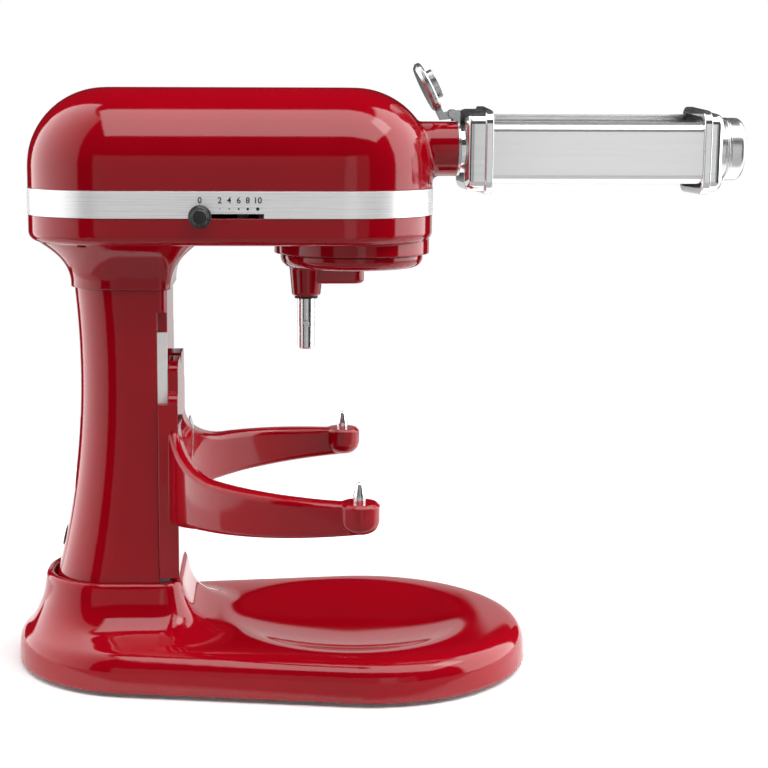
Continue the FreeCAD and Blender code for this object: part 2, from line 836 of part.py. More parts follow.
crank_web = hanging("crank_web", crank_y)
pad(crank_web, egg(
    sketch(crank_web, "crank_plan", "XZ_Plane"),
    as_size(0), s.lift_shaft_radius + s.crank_web, crank_throw, s.crank_pin_radius + s.crank_web,
), crank_thick, back=True)
lift_shaft = rod("lift_shaft", s.lift_shaft_radius, lever_y + s.lever_arm_thick - crank_y, lift_x, crank_y,
                 s.lift_axis_height, "y")
crank_pin = rod(
    "crank_pin", s.crank_pin_radius, crank_y + s.link_half_thick + 1, lift_x, -s.link_half_thick - 1,
    link_low, "y",
)
node(fuse("lift_crank", crank_web, lift_shaft, crank_pin))
arm_blank = hanging("lever_blank", lever_y)
arm_pad = pad(arm_blank, egg(
    sketch(arm_blank, "lever_plan", "XZ_Plane"),
    as_size(0), s.lift_shaft_radius + 7, s.lever_length, s.grip_radius,
), s.lever_arm_thick, back=True)
round_edges(arm_blank, arm_pad, as_size(1.5), lambda edge: edge.BoundBox.YMin > s.lever_arm_thick.value - 0.1)
node(cut("lift_lever", arm_blank, rod("lever_shaft_hole", s.lift_shaft_radius, s.lever_arm_thick + 2, lift_x,
                                      lever_y - 1, s.lift_axis_height, "y")))
grip = body("lift_grip", lift_x, lever_y + s.lever_arm_thick, s.lift_axis_height - s.lever_length)
grip_waist = s.grip_radius * 0.62
revolve(grip, draw(
    sketch(grip, "grip_profile", "XY_Plane"),
    (0, 0), (grip_waist + 1, 0), (grip_waist, 5), (s.grip_radius, s.grip_length - s.grip_radius),
    (0, s.grip_length, s.grip_radius, (s.grip_radius * 0.7, s.grip_length - s.grip_radius * 0.3)), (0, 0),
))
node(grip)
slot_front = lift_x + s.crank_pin_radius + slot_end
slot_rear = lift_x - crank_throw - s.crank_pin_radius - slot_end
link_plate = block("link_plate", (slot_rear - link_end, -s.link_half_thick, link_low - link_half),
                   (column_front - s.column_wall - 4, s.link_half_thick, link_low + link_half))
link_lug = block("link_lug", (column_front - s.column_wall - 4, -s.link_lug_half, link_low - link_half),
                 (column_front + s.running_gap, s.link_lug_half, link_low + link_half))
slot_half = s.crank_pin_radius + s.crank_slack
link_slot = block("link_slot", (slot_rear, -s.link_half_thick - 1, link_low - slot_half),
                  (slot_front, s.link_half_thick + 1, link_low + slot_half))
node(cut("lift_link", fuse("link_blank", link_plate, link_lug), link_slot))

# Bowl yoke: a plate that rides on the rails, with two arms that curve round the bowl to a pin each
plate_back = column_front + s.running_gap
flange_in = s.rail_half_span + s.running_gap
flange_out = flange_in + s.yoke_side_thick
yoke_plate = body("yoke_plate", plate_back)
nip = 8
plate_outline = draw(
    sketch(yoke_plate, "plate_outline", "YZ_Plane"),
    (-flange_out, s.yoke_bottom),
    (flange_out, s.yoke_bottom),
    (flange_out, s.yoke_flange_top - nip),
    (s.yoke_top_half, s.yoke_flange_top, as_size(nip), (flange_out - 1.2, s.yoke_flange_top - 3.5)),
    (s.yoke_top_half, s.yoke_top - nip),
    (s.yoke_top_half - nip, s.yoke_top, as_size(nip), (s.yoke_top_half - 2.4, s.yoke_top - 2.4)),
    (7, s.yoke_top),
    (0, s.yoke_top - nip),
    (-7, s.yoke_top),
    (nip - s.yoke_top_half, s.yoke_top),
    (-s.yoke_top_half, s.yoke_top - nip, as_size(nip), (2.4 - s.yoke_top_half, s.yoke_top - 2.4)),
    (-s.yoke_top_half, s.yoke_flange_top),
    (-flange_out, s.yoke_flange_top - nip, as_size(nip), (1.2 - flange_out, s.yoke_flange_top - 3.5)),
    (-flange_out, s.yoke_bottom),
)
pad(yoke_plate, plate_outline, s.yoke_plate_thick)
flanges = [
    block(
        f"yoke_flange_{n}", (column_front - s.rail_width + s.running_gap, low, s.yoke_bottom),
        (plate_back + 1, low + s.yoke_side_thick, s.yoke_flange_top - nip),
    )
    for n, low in enumerate((flange_in, -flange_out))
]
arm_ring = body("arm_ring", planet)
inner = s.arm_outer_radius - s.arm_thick
pad(arm_ring, draw(
    sketch(arm_ring, "arm_plan", "XY_Plane", s.arm_low_root - 5),
    (0, -s.arm_outer_radius),
    (0, -inner),
    (-inner, 0, inner, (-inner * half_turn, -inner * half_turn)),
    (0, inner, inner, (-inner * half_turn, inner * half_turn)),
    (0, s.arm_outer_radius),
    (-s.arm_outer_radius, 0, s.arm_outer_radius, (-s.arm_outer_radius * half_turn,
        s.arm_outer_radius * half_turn)),
    (0, -s.arm_outer_radius, s.arm_outer_radius, (-s.arm_outer_radius * half_turn,
        -s.arm_outer_radius * half_turn)),
), s.arm_swoop + s.arm_slope + s.arm_root_depth + 10)
arm_side = body("arm_side", planet)
plate_reach = s.column_reach - s.running_gap - s.yoke_plate_thick
arm_top = s.arm_top_tip + s.arm_slope
swoop_bend = s.arm_swoop * (1 - half_turn)
pad(arm_side, draw(
    sketch(arm_side, "arm_side_outline", "XZ_Plane"),
    (-s.arm_outer_radius - 5, s.arm_low_root),
    (s.arm_knee_reach - plate_reach, s.arm_low_knee),
    (5, s.arm_low_tip),
    (5, s.arm_top_tip),
    (-s.tip_radius, s.arm_top_tip),
    (s.arm_swoop - plate_reach, arm_top),
    (-plate_reach, arm_top + s.arm_swoop, s.arm_swoop, (swoop_bend - plate_reach, arm_top + swoop_bend)),
    (-s.arm_outer_radius - 5, arm_top + s.arm_swoop),
    (-s.arm_outer_radius - 5, s.arm_low_root),
), s.arm_outer_radius * 2 + 20, both=True)
arm_blanks = common("arm_blanks", arm_ring, arm_side)
arms = soften("yoke_arms", arm_blanks, s.arm_round,
              lambda edge: edge.BoundBox.YLength > 1 and edge.Length > s.arm_thick.value * 1.5)
tips, pins = [], []
for n, side in enumerate((-1, 1)):
    tip = body(f"yoke_tip_{n}", planet, s.bowl_pin_reach * side)
    nick = s.tip_round * (1 - math.sqrt(0.5))
    revolve(tip, draw(
        sketch(tip, f"tip_profile_{n}", "XZ_Plane"),
        (0, s.arm_low_tip), (s.tip_radius - s.tip_round, s.arm_low_tip),
        (s.tip_radius, s.arm_low_tip + s.tip_round, s.tip_round,
         (s.tip_radius - nick, s.arm_low_tip + nick)),
        (s.tip_radius, s.arm_top_tip - 2), (s.tip_radius - 2, s.arm_top_tip), (0, s.arm_top_tip),
        (0, s.arm_low_tip),
    ))
    tips.append(tip)
    pin = body(f"bowl_pin_{n}", planet, s.bowl_pin_reach * side, s.arm_top_tip)
    revolve(pin, draw(
        sketch(pin, f"pin_profile_{n}", "XZ_Plane"),
        (0, 0), (s.bowl_pin_radius, 0), (s.bowl_pin_radius, s.bowl_pin_straight),
        (s.bowl_pin_tip_radius, s.bowl_pin_height - 1), (s.bowl_pin_tip_radius - 0.8, s.bowl_pin_height),
        (0, s.bowl_pin_height), (0, 0),
    ))
    pins.append(pin)
column_room = block("column_room", (column_front - 40, -flange_in, s.yoke_bottom - 1),
                    (plate_back, flange_in, s.yoke_top + 1))
node(cut("bowl_yoke", fuse("yoke_blank", yoke_plate, arms, *flanges, *tips), column_room))
node(group("bowl_pins", *pins))
clip = body("bowl_clip", plate_back + s.yoke_plate_thick)
clip_low = arm_top
pad(clip, draw(
    sketch(clip, "clip_outline", "XZ_Plane"),
    (0, clip_low), (7, clip_low), (8, s.clip_top - 8), (5.5, s.clip_top), (5.5 + s.clip_thick, s.clip_top),
    (8 + s.clip_thick, s.clip_top - 8), (7 + s.clip_thick, clip_low - s.clip_thick),
    (0, clip_low - s.clip_thick),
    (0, clip_low),
), s.clip_width, both=True)
node(clip)


# Lower half of the head: a trough with the flared neck, the rim round the planet gears and the bearing bosses
def stadium(owner, name, height, radius):
    rear, front, side = head_rear_axis, head_front_axis, radius * half_turn
    return draw(
        sketch(owner, name, "XY_Plane", height),
        (rear, -radius),
        (front, -radius),
        (front + radius, 0, radius, (front + side, -side)),
        (front, radius, radius, (front + side, side)),
        (rear, radius),
        (rear - radius, 0, radius, (rear - side, side)),
        (rear, -radius, radius, (rear - side, -side)),
    )


band_seat = s.head_half_width - s.band_thick
case_body = body("case_body")
case_pad = pad(case_body, stadium(case_body, "case_plan", s.head_bottom, s.head_half_width),
               s.band_bottom - s.head_bottom)
round_edges(case_body, case_pad, s.head_bottom_round, level(s.head_bottom))
pad(
    case_body, stadium(case_body, "case_lip", s.band_bottom - 1, band_seat),
    s.seam_height - s.band_bottom + 1,
)
neck_body = body("neck_body")
neck_sections = []
neck_low = s.column_top + s.neck_straight
for number, (height, spread) in enumerate(
    [(s.column_top, 0)] + [(neck_low + (s.head_bottom + 2 - neck_low) * rise, rise * rise)
        for rise in (0, 0.4, 0.7, 1)]
):
    half = s.column_top_half + s.neck_lip + s.neck_side_flare * spread
    neck_sections.append(rounded(
        sketch(neck_body, f"neck_section_{number}", "XY_Plane", height),
        column_front - s.column_top_depth - s.neck_lip - s.neck_rear_flare * spread,
        column_front + s.neck_lip + s.neck_front_flare * spread,
        half, half - 4, s.column_corner + s.neck_lip + s.neck_front_flare * spread,
    ))
loft(neck_body, neck_sections)
case_hollow = body("case_hollow")
case_floor = s.head_bottom + s.head_floor
pad(
    case_hollow, stadium(case_hollow, "case_inside", case_floor, s.head_half_width - s.head_wall),
    s.seam_height - case_floor + 1,
)
neck_hollow = body("neck_hollow")
pad(neck_hollow, rounded(
    sketch(neck_hollow, "neck_inside", "XY_Plane", s.column_top - 1),
    column_front - s.column_top_depth + s.column_wall, column_front - s.column_wall,
    s.column_top_half - s.column_wall, s.column_top_half - s.column_wall - 4, as_size(s.column_corner),
), s.head_bottom - s.column_top - 2)
rim = rod("planet_rim", s.rim_radius, s.head_bottom + 2 - s.rim_bottom, planet, 0, s.rim_bottom)
ring_bore = rod("ring_bore", s.ring_rim_radius, s.head_bottom - s.rim_bottom + 1, planet, 0, s.rim_bottom - 1)
case_shell = cut(
    "case_shell", fuse("case_blank", case_body, neck_body, rim), case_hollow, neck_hollow, ring_bore,
)

spur_centre = s.gear_module * (s.spur_teeth + s.spur_pinion_teeth) / 2
wheel_radius = s.gear_module * s.wheel_teeth / 2
wheel_y = wheel_radius + s.worm_radius
wheel_x = planet - root(spur_centre * spur_centre - wheel_y * wheel_y)
bearing_radius = s.planet_shaft_radius + s.bearing_wall
wheel_bush_radius = s.wheel_shaft_radius + s.bush_wall
boss_top = s.spur_bottom - 2
planet_boss = rod("planet_boss", bearing_radius + 4, boss_top - case_floor + 1, planet, 0, case_floor - 1)
wheel_boss = rod(
    "wheel_boss", wheel_bush_radius + 3, boss_top - case_floor + 1, wheel_x, wheel_y, case_floor - 1,
)
post_radius = s.screw_radius + 5
post_reach = s.head_half_width - s.head_wall - post_radius + 1
rear_post = math.radians(23)
post_spots = [
    (x, y * side)
    for x, y in ((head_rear_axis - post_reach * math.sin(rear_post), post_reach * math.cos(rear_post)),
                 (wheel_x + 4, post_reach))
    for side in (1, -1)
]
screw_posts = [
    rod(f"case_post_{n}", post_radius, s.seam_height - case_floor + 1, x, y, case_floor - 1)
    for n, (x, y) in enumerate(post_spots)
]
planet_bore = rod("planet_bore", bearing_radius, 30, planet, 0, s.head_bottom - 5)
wheel_bore = rod("wheel_bore", wheel_bush_radius, boss_top - case_floor, wheel_x, wheel_y, case_floor + 2)
case_screw_holes = [
    rod(f"case_screw_hole_{n}", s.screw_radius, s.seam_height - s.head_bottom + 2, x, y, s.head_bottom - 1)
    for n, (x, y) in enumerate(post_spots)
] + [
    rod(f"case_screw_sink_{n}", s.screw_head_radius, s.screw_head_height + 1, x, y, s.head_bottom - 1)
    for n, (x, y) in enumerate(post_spots)
]
case_cable = rod(
    "case_cable_hole", s.cable_radius, 30, column_front - s.column_top_depth / 2, 0, s.head_bottom - 10,
)
lever_x = planet - s.lever_x
lever_slot = block(
    "lever_slot",
    (lever_x - s.lever_half_width - 1, -s.head_half_width - 2, s.band_bottom),
    (lever_x + s.lever_travel + s.lever_half_width + 1, 14 - s.head_half_width,
        s.band_bottom + s.lever_slot_height),
)
node(cut("gearcase", fuse("case_with_bosses", case_shell, planet_boss, wheel_boss, *screw_posts),
         planet_bore, wheel_bore, case_cable, lever_slot, *case_screw_holes))

# Top cover: a domed shell whose front carries the attachment hub
cover_outside = body("cover_outside")
dome_pad = pad(cover_outside, stadium(cover_outside, "dome_plan", s.band_top, s.head_half_width),
               s.head_top - s.band_top)
round_edges(cover_outside, dome_pad, s.head_round, level(s.head_top))
pad(
    cover_outside, stadium(cover_outside, "dome_skirt", s.seam_height, band_seat),
    s.band_top - s.seam_height + 1,
)
cover_inside = body("cover_inside")
roof = s.head_top - s.head_wall
dome_core = pad(
    cover_inside, stadium(cover_inside, "dome_core", s.seam_height - 1, s.head_half_width - s.head_wall),
    roof - s.seam_height + 1,
)
round_edges(cover_inside, dome_core, s.head_round - s.head_wall, level(roof))
sleeve_back = planet + s.gear_module * s.bevel_teeth / 2 + s.bevel_hub_length + s.running_gap
hub_boss = rod(
    "hub_boss", s.hub_boss_radius, hub_front - sleeve_back - 6, sleeve_back + 6, 0, s.hub_height, "x",
)
hub_bore = rod(
    "hub_bore", s.hub_sleeve_radius, hub_front - sleeve_back + 2, sleeve_back, 0, s.hub_height, "x",
)
thumb_x = hub_front - s.thumb_screw_back
thumb_hole = rod("thumb_hole", s.thumb_screw_radius + s.shaft_gap, 25, thumb_x, 5, s.hub_height, "y")
cover_posts = [
    rod(f"cover_post_{n}", post_radius, 13, x, y, s.seam_height) for n, (x, y) in enumerate(post_spots)
]
cover_screw_holes = [
    rod(f"cover_screw_hole_{n}", s.screw_radius, 11, x, y, s.seam_height - 1)
    for n, (x, y) in enumerate(post_spots)
]


def round_the_boss(edge):
    points = edge.discretize(5)
    return edge.BoundBox.XLength > 1 and all(
        abs(math.hypot(p.y, p.z - s.hub_height.value) - s.hub_boss_radius.value) < 1e-3 for p in points)


cover_with_boss = soften("cover_with_boss", fuse("cover_and_boss", cover_outside, hub_boss), s.hub_boss_flare,
                         round_the_boss)
cover_shell = cut("cover_shell", cover_with_boss, cover_inside)
inner_boss = common("inner_boss", hub_boss, cover_inside)
node(cut("top_cover", fuse("cover_with_posts", cover_shell, inner_boss, *cover_posts), hub_bore, thumb_hole,
         *cover_screw_holes))

# Silver band over the seam, with the slot of the speed lever in its lower edge
band_body = body("band_body")
pad(
    band_body, stadium(band_body, "band_plan", s.band_bottom, s.head_half_width + s.band_proud),
    s.band_top - s.band_bottom,
)
band_core = body("band_core")
pad(
    band_core, stadium(band_core, "band_inside", s.band_bottom - 1, band_seat),
    s.band_top - s.band_bottom + 2,
)
node(cut("trim_band", band_body, band_core, lever_slot))

# Screws that hold the column to the base and the cover to the gearcase
def screw(name, length, x, y, z):
    head = rod(f"{name}_head", s.screw_head_radius, s.screw_head_height, x, y, z)
    shank = rod(f"{name}_shank", s.screw_radius, length, x, y, z)
    return fuse(name, head, shank)


column_screw_low = column_seat - s.collar_floor - s.screw_head_height
node(group("housing_screws", *[
    screw(
        f"column_screw_{n}", s.screw_head_height + s.collar_floor + s.column_floor - 2, x, y,
        column_screw_low,
    )
    for n, (x, y) in enumerate(screw_spots)
], *[
    screw(f"cover_screw_{n}", s.seam_height - s.head_bottom + 9, x, y, s.head_bottom)
    for n, (x, y) in enumerate(post_spots)
]))
grommet = doc.addObject("PartDesign::Body", "cord_grommet")
place(grommet, grommet_x, 0, s.grommet_height, (0, 1, 0), grommet_tilt)
grommet_stem = s.grommet_radius - 2
revolve(grommet, draw(
    sketch(grommet, "grommet_profile", "XY_Plane"),
    (-s.grommet_proud, grommet_stem / 2), (s.grommet_radius, grommet_stem / 2),
    (s.grommet_radius, grommet_stem),
    (0, grommet_stem), (0, s.grommet_radius), (-s.grommet_proud, s.grommet_radius - s.grommet_proud),
    (-s.grommet_proud, grommet_stem / 2),
), "H_Axis")
node(grommet)


# Gear teeth have straight flanks at twenty degrees and are thinned by the backlash
def teeth_wire(teeth, pitch, tip, low, thick, turn=0.0, z=0.0, scale=1.0):
    lean = math.tan(math.radians(20))
    half = thick / 2 / pitch
    corners = []
    for n in range(teeth):
        middle = turn + 2 * math.pi * n / teeth
        foot, crest = half + (pitch - low) * lean / low, half - (tip - pitch) * lean / tip
        for radius, angle in ((low, -foot), (tip, -crest), (tip, crest), (low, foot)):
            radius *= scale
            corners.append(Vector(radius * math.cos(middle + angle), radius * math.sin(middle + angle), z))
    return Part.makePolygon(corners + corners[:1])


def feature(name, shape, x=0, y=0, z=0, axis=(0, 0, 1), angle=0):
    item = doc.addObject("Part::Feature", name)
    item.Shape = shape
    return place(item, x, y, z, axis, angle)


def tooth_width(module):
    return math.pi * module / 2 - s.gear_backlash.value


def spur_gear(teeth, module, width, bore, turn=0.0):
    pitch = teeth * module / 2
    outline = teeth_wire(teeth, pitch, pitch + module * 0.9, pitch - module * 1.25, tooth_width(module), turn)
    return Part.Face(outline).extrude(Vector(0, 0, width)).cut(Part.makeCylinder(bore, width))


module = s.gear_module.value

# Planet gears: a fixed ring in the rim, and a pinion on the beater shaft that rolls round inside it
ring_pitch = module * s.ring_teeth.value / 2
ring_space = teeth_wire(
    int(s.ring_teeth.value), ring_pitch, ring_pitch + module * 1.25, ring_pitch - module * 0.9,
    math.pi * module / 2, math.pi,
)
ring_width = s.head_bottom.value - s.rim_bottom.value - 0.5
ring_solid = Part.makeCylinder(s.ring_rim_radius.value, ring_width)
node(feature("ring_gear", ring_solid.cut(Part.Face(ring_space).extrude(Vector(0, 0, ring_width))),
             planet, 0, s.rim_bottom + 0.5))
carrier_top = s.rim_bottom - s.carrier_gap
pinion_low = carrier_top + 1.5
node(feature("planet_pinion", spur_gear(int(s.planet_teeth.value), module, s.planet_gear_width.value,
                                        s.beater_shaft_radius.value, math.pi), beater_x, 0, pinion_low))

# Planetary carrier: a rounded drum with a rib across it and the long beater boss
carrier_body = body("carrier_body", planet)
carrier_bend = s.carrier_round * (1 - half_turn)
revolve(carrier_body, draw(
    sketch(carrier_body, "carrier_profile", "XZ_Plane"),
    (0, s.carrier_bottom), (s.carrier_radius - s.carrier_round, s.carrier_bottom),
    (s.carrier_radius, s.carrier_bottom + s.carrier_round, s.carrier_round,
     (s.carrier_radius - carrier_bend, s.carrier_bottom + carrier_bend)),
    (s.carrier_radius, carrier_top), (s.carrier_hub_radius, carrier_top),
    (s.carrier_hub_radius, carrier_top + s.carrier_hub_rise), (0, carrier_top + s.carrier_hub_rise),
    (0, s.carrier_bottom),
))
beater_boss = body("beater_boss", beater_x)
boss_high = s.boss_radius + s.boss_taper
boss_bend, flare_bend = s.boss_round * (1 - half_turn), s.boss_flare * (1 - half_turn)
revolve(beater_boss, draw(
    sketch(beater_boss, "boss_profile", "XZ_Plane"),
    (0, s.boss_bottom), (s.boss_radius - s.boss_round, s.boss_bottom),
    (s.boss_radius, s.boss_bottom + s.boss_round, s.boss_round,
     (s.boss_radius - boss_bend, s.boss_bottom + boss_bend)),
    (boss_high, s.carrier_bottom - s.boss_flare),
    (boss_high + s.boss_flare, s.carrier_bottom, s.boss_flare,
     (boss_high + flare_bend, s.carrier_bottom - flare_bend)),
    (boss_high + s.boss_flare, s.carrier_bottom + 1), (0, s.carrier_bottom + 1), (0, s.boss_bottom),
))
carrier_rib = body("carrier_rib")
rib_pad = pad(carrier_rib, egg(
    sketch(carrier_rib, "rib_plan", "XY_Plane", s.rib_bottom),
    beater_x, s.rib_half_width, planet + s.rib_end - s.rib_end_radius, s.rib_end_radius,
), s.rib_depth + 1)
round_edges(carrier_rib, rib_pad, s.rib_round, level(s.rib_bottom))
bush_radius = s.beater_shaft_radius + s.bush_wall
beater_bore = rod("beater_bore", bush_radius, carrier_top - s.boss_bottom + 2, beater_x, 0, s.boss_bottom - 1)
shaft_low = s.carrier_bottom + 2
planet_socket = rod(
    "planet_socket", s.planet_shaft_radius, carrier_top - shaft_low + 10, planet, 0, shaft_low,
)
lock_height = s.carrier_bottom + 5
lock_hole = rod("lock_hole", s.beater_pin_radius, 40, planet, -20, lock_height, "y")
node(cut("planetary_carrier", fuse("carrier_blank", carrier_body, beater_boss, carrier_rib),
         beater_bore, planet_socket, lock_hole))
node(rod("carrier_pin", s.beater_pin_radius, 36, planet, -18, lock_height, "y"))
bush_length = 11
node(group("beater_bushes", *[
    tube(f"beater_bush_{n}", s.beater_shaft_radius + s.shaft_gap, bush_radius, bush_length, beater_x, 0, z)
    for n, z in enumerate((s.boss_bottom, carrier_top - bush_length))
]))
bevel_pitch = s.gear_module * s.bevel_teeth / 2
hub_bevel_pitch = s.gear_module * s.hub_bevel_teeth / 2
bevel_plane = s.hub_height - hub_bevel_pitch
planet_shaft = rod(
    "planet_shaft_blank", s.planet_shaft_radius, bevel_plane + 6 - shaft_low, planet, 0, shaft_low,
)
shaft_lock_hole = rod("shaft_lock_hole", s.beater_pin_radius, 40, planet, -20, lock_height, "y")
node(cut("planetary_shaft", planet_shaft, shaft_lock_hole))

# Beater shaft with its cross pin and rubber washer
shaft_top = s.head_bottom - 0.7
shaft_body = body("beater_shaft_body", beater_x)
revolve(shaft_body, draw(
    sketch(shaft_body, "beater_profile", "XZ_Plane"),
    (0, s.beater_tip), (s.beater_tip_radius - 1, s.beater_tip), (s.beater_tip_radius, s.beater_tip + 1),
    (s.beater_tip_radius, s.beater_tip + s.beater_tip_length),
    (s.beater_shaft_radius, s.beater_tip + s.beater_tip_length),
    (s.beater_shaft_radius, shaft_top), (0, shaft_top), (0, s.beater_tip),
))
node(cut("beater_shaft", shaft_body, rod("beater_pin_hole", s.beater_pin_radius, 40, beater_x, -20,
                                         s.beater_pin_height, "y")))
node(rod("beater_pin", s.beater_pin_radius, s.beater_pin_half * 2, beater_x, -s.beater_pin_half,
         s.beater_pin_height, "y"))
node(tube("shaft_washer", s.beater_shaft_radius, s.washer_radius, s.washer_thick, beater_x, 0,
          s.boss_bottom - s.running_gap - s.washer_thick))

# Main spur gear on the planetary shaft, driven by the pinion under the worm wheel
mesh_turn = math.atan2(wheel_y.value, wheel_x.value - planet.value)
node(feature("main_gear", spur_gear(int(s.spur_teeth.value), module, s.spur_width.value,
                                    s.planet_shaft_radius.value, mesh_turn), planet, 0, s.spur_bottom))
pinion_teeth = int(s.spur_pinion_teeth.value)
spur_pinion = feature("spur_pinion", spur_gear(pinion_teeth, module, s.spur_width.value, 2,
                                               mesh_turn + math.pi + math.pi / pinion_teeth),
                      wheel_x, wheel_y, s.spur_bottom)

# Worm wheel with slanted teeth on an upright shaft, and the two-start worm on the motor shaft
starts = int(s.worm_starts.value)
axial_pitch = math.pi * module
worm_lean = starts * axial_pitch / (2 * math.pi * s.worm_radius.value)
wheel_pitch = wheel_radius.value
wheel_twist = s.wheel_width.value * worm_lean / wheel_pitch
wheel_ends = [
    teeth_wire(
        int(s.wheel_teeth.value), wheel_pitch, wheel_pitch + module * 0.8, wheel_pitch - module * 1.2,
        tooth_width(module), -math.pi / 2 + wheel_twist * part, s.wheel_width.value * (0.5 + part),
    )
    for part in (-0.5, 0.5)
]
wheel_solid = Part.makeLoft(wheel_ends, True, True)
wheel_solid = wheel_solid.cut(Part.makeCylinder(s.wheel_shaft_radius.value, s.wheel_width.value))
wheel_low = s.motor_height - s.wheel_width / 2
node(feature("worm_wheel", wheel_solid, wheel_x, wheel_y, wheel_low))
wheel_shaft_low = case_floor + 2.5
wheel_rod = rod(
    "wheel_rod", s.wheel_shaft_radius, wheel_low + s.wheel_width + 3 - wheel_shaft_low, wheel_x, wheel_y,
    wheel_shaft_low,
)
node(fuse("pinion_shaft", wheel_rod, spur_pinion))
worm_root = s.worm_radius.value - module * 1.1
worm_crest = s.worm_radius.value + module * 0.8
lead = starts * axial_pitch
thread_half = tooth_width(module) / 2 * math.sqrt(1 + worm_lean * worm_lean)
flank = math.tan(math.radians(20))
worm_half = s.worm_half_length.value
worm_steps = round(worm_half * 2 / lead * 18)


# A slice across the worm has a lobe for each thread, and the slices turn once in a lead
def worm_slice(z):
    lobe = [(radius, (thread_half - (radius - s.worm_radius.value) * flank) * 2 * math.pi / lead)
            for radius in (worm_root, (worm_root + worm_crest) / 2, worm_crest)]
    points = []
    for start in range(starts):
        middle = math.pi / 2 + 2 * math.pi * (z / lead + start / starts)
        edges = [(radius, middle - half) for radius, half in lobe] + [(worm_crest, middle)]
        edges += [(radius, middle + half) for radius, half in reversed(lobe)]
        edges.append((worm_root, middle + math.pi / starts))
        points += [Vector(radius * math.cos(turn), radius * math.sin(turn), z) for radius, turn in edges]
    return Part.makePolygon(points + points[:1])


worm_slices = [worm_slice(worm_half * (2 * n / worm_steps - 1)) for n in range(worm_steps + 1)]
worm_threads = Part.makeLoft(worm_slices, True, True)
forward = ((1, 1, 1), 120)

# Motor: wound rotor with commutator and fan in a laminated stator, in bearings on two stands
rotor_x = planet - s.rotor_back
rotor_start = rotor_x - s.rotor_length / 2
commutator_start = rotor_start - 5 - s.commutator_length
rear_bearing = commutator_start - 5 - s.motor_bearing_width
fan_start = rotor_x + s.rotor_length / 2 + 5
front_bearing = fan_start + s.fan_width + 12
shaft_end = wheel_x + s.worm_half_length + 1
shaft_back = rear_bearing - 1 - wheel_x
motor_rod = Part.makeCylinder(s.motor_shaft_radius.value, (shaft_end - wheel_x - shaft_back).value,
                              Vector(0, 0, shaft_back.value))
node(feature("worm_shaft", worm_threads.fuse(motor_rod), wheel_x, 0, s.motor_height, *forward))
rotor_turns = 11
slots = [
    place(rod(f"rotor_slot_{n}", 2, s.rotor_length + 2), rotor_start - 1,
          s.rotor_radius * math.cos(2 * math.pi * n / rotor_turns),
          s.motor_height + s.rotor_radius * math.sin(2 * math.pi * n / rotor_turns), (0, 1, 0), 90)
    for n in range(rotor_turns)
]
node(cut(
    "motor_rotor",
    rod("rotor_blank", s.rotor_radius, s.rotor_length, rotor_start, 0, s.motor_height, "x"),
    rod("rotor_bore", s.motor_shaft_radius, s.rotor_length + 2, rotor_start - 1, 0, s.motor_height, "x"),
    *slots,
))
node(tube("commutator", s.motor_shaft_radius, s.commutator_radius, s.commutator_length, commutator_start, 0,
          s.motor_height, "x"))
blades = 9
fan_hub = Part.makeCylinder(s.motor_shaft_radius.value + 5, s.fan_width.value)
fan_disc = Part.makeCylinder(s.fan_radius.value, 1.5)
blade_box = Part.makeBox(s.fan_radius.value - s.motor_shaft_radius.value - 4, 1.5, s.fan_width.value,
                         Vector(s.motor_shaft_radius.value + 4, -0.75, 0))
fan_blades = []
for n in range(blades):
    blade = blade_box.copy()
    blade.rotate(Vector(), Vector(0, 0, 1), 360 * n / blades)
    fan_blades.append(blade)
fan_solid = fan_hub.multiFuse([fan_disc] + fan_blades)
fan_solid = fan_solid.cut(Part.makeCylinder(s.motor_shaft_radius.value, s.fan_width.value))
node(feature("motor_fan", fan_solid, fan_start, 0, s.motor_height, *forward))
stator_start = rotor_x - s.stator_length / 2
node(tube("motor_stator", s.rotor_radius + s.air_gap, s.stator_radius, s.stator_length, stator_start, 0,
          s.motor_height, "x"))
stand_half = s.motor_bearing_radius + 4
stands = []
for n, x in enumerate((rear_bearing, front_bearing)):
    plate = block(f"stand_plate_{n}", (x, -stand_half, case_floor),
                  (x + s.motor_bearing_width, stand_half, s.motor_height + stand_half))
    stands.append(cut(f"bearing_stand_{n}", plate, rod(
        f"stand_hole_{n}", s.motor_bearing_radius, s.motor_bearing_width + 2, x - 1, 0, s.motor_height, "x")))
saddle = cut("stator_saddle", block("saddle_block", (stator_start + 5, -26, case_floor),
                                    (stator_start + s.stator_length - 5, 26, s.motor_height - 20)),
             rod("saddle_hole", s.stator_radius, s.stator_length, stator_start, 0, s.motor_height, "x"))
node(group("motor_mounts", saddle, *stands))
brushes = []
brush_x = commutator_start + s.commutator_length / 2
brush_in = s.commutator_radius + s.running_gap
for n, side in enumerate((1, -1)):
    low, high = sorted((brush_in * side, (brush_in + 22) * side), key=lambda size: size.value)
    holder = block(
        f"brush_holder_{n}", (brush_x - 5, low, s.motor_height - 5),
        (brush_x + 5, high, s.motor_height + 5),
    )
    low, high = sorted(((brush_in + 14) * side, (brush_in + 22) * side), key=lambda size: size.value)
    leg = block(f"brush_leg_{n}", (brush_x - 5, low, case_floor), (brush_x + 5, high, s.motor_height))
    brushes.append(fuse(f"brush_{n}", holder, leg))
node(group("brush_holders", *brushes))

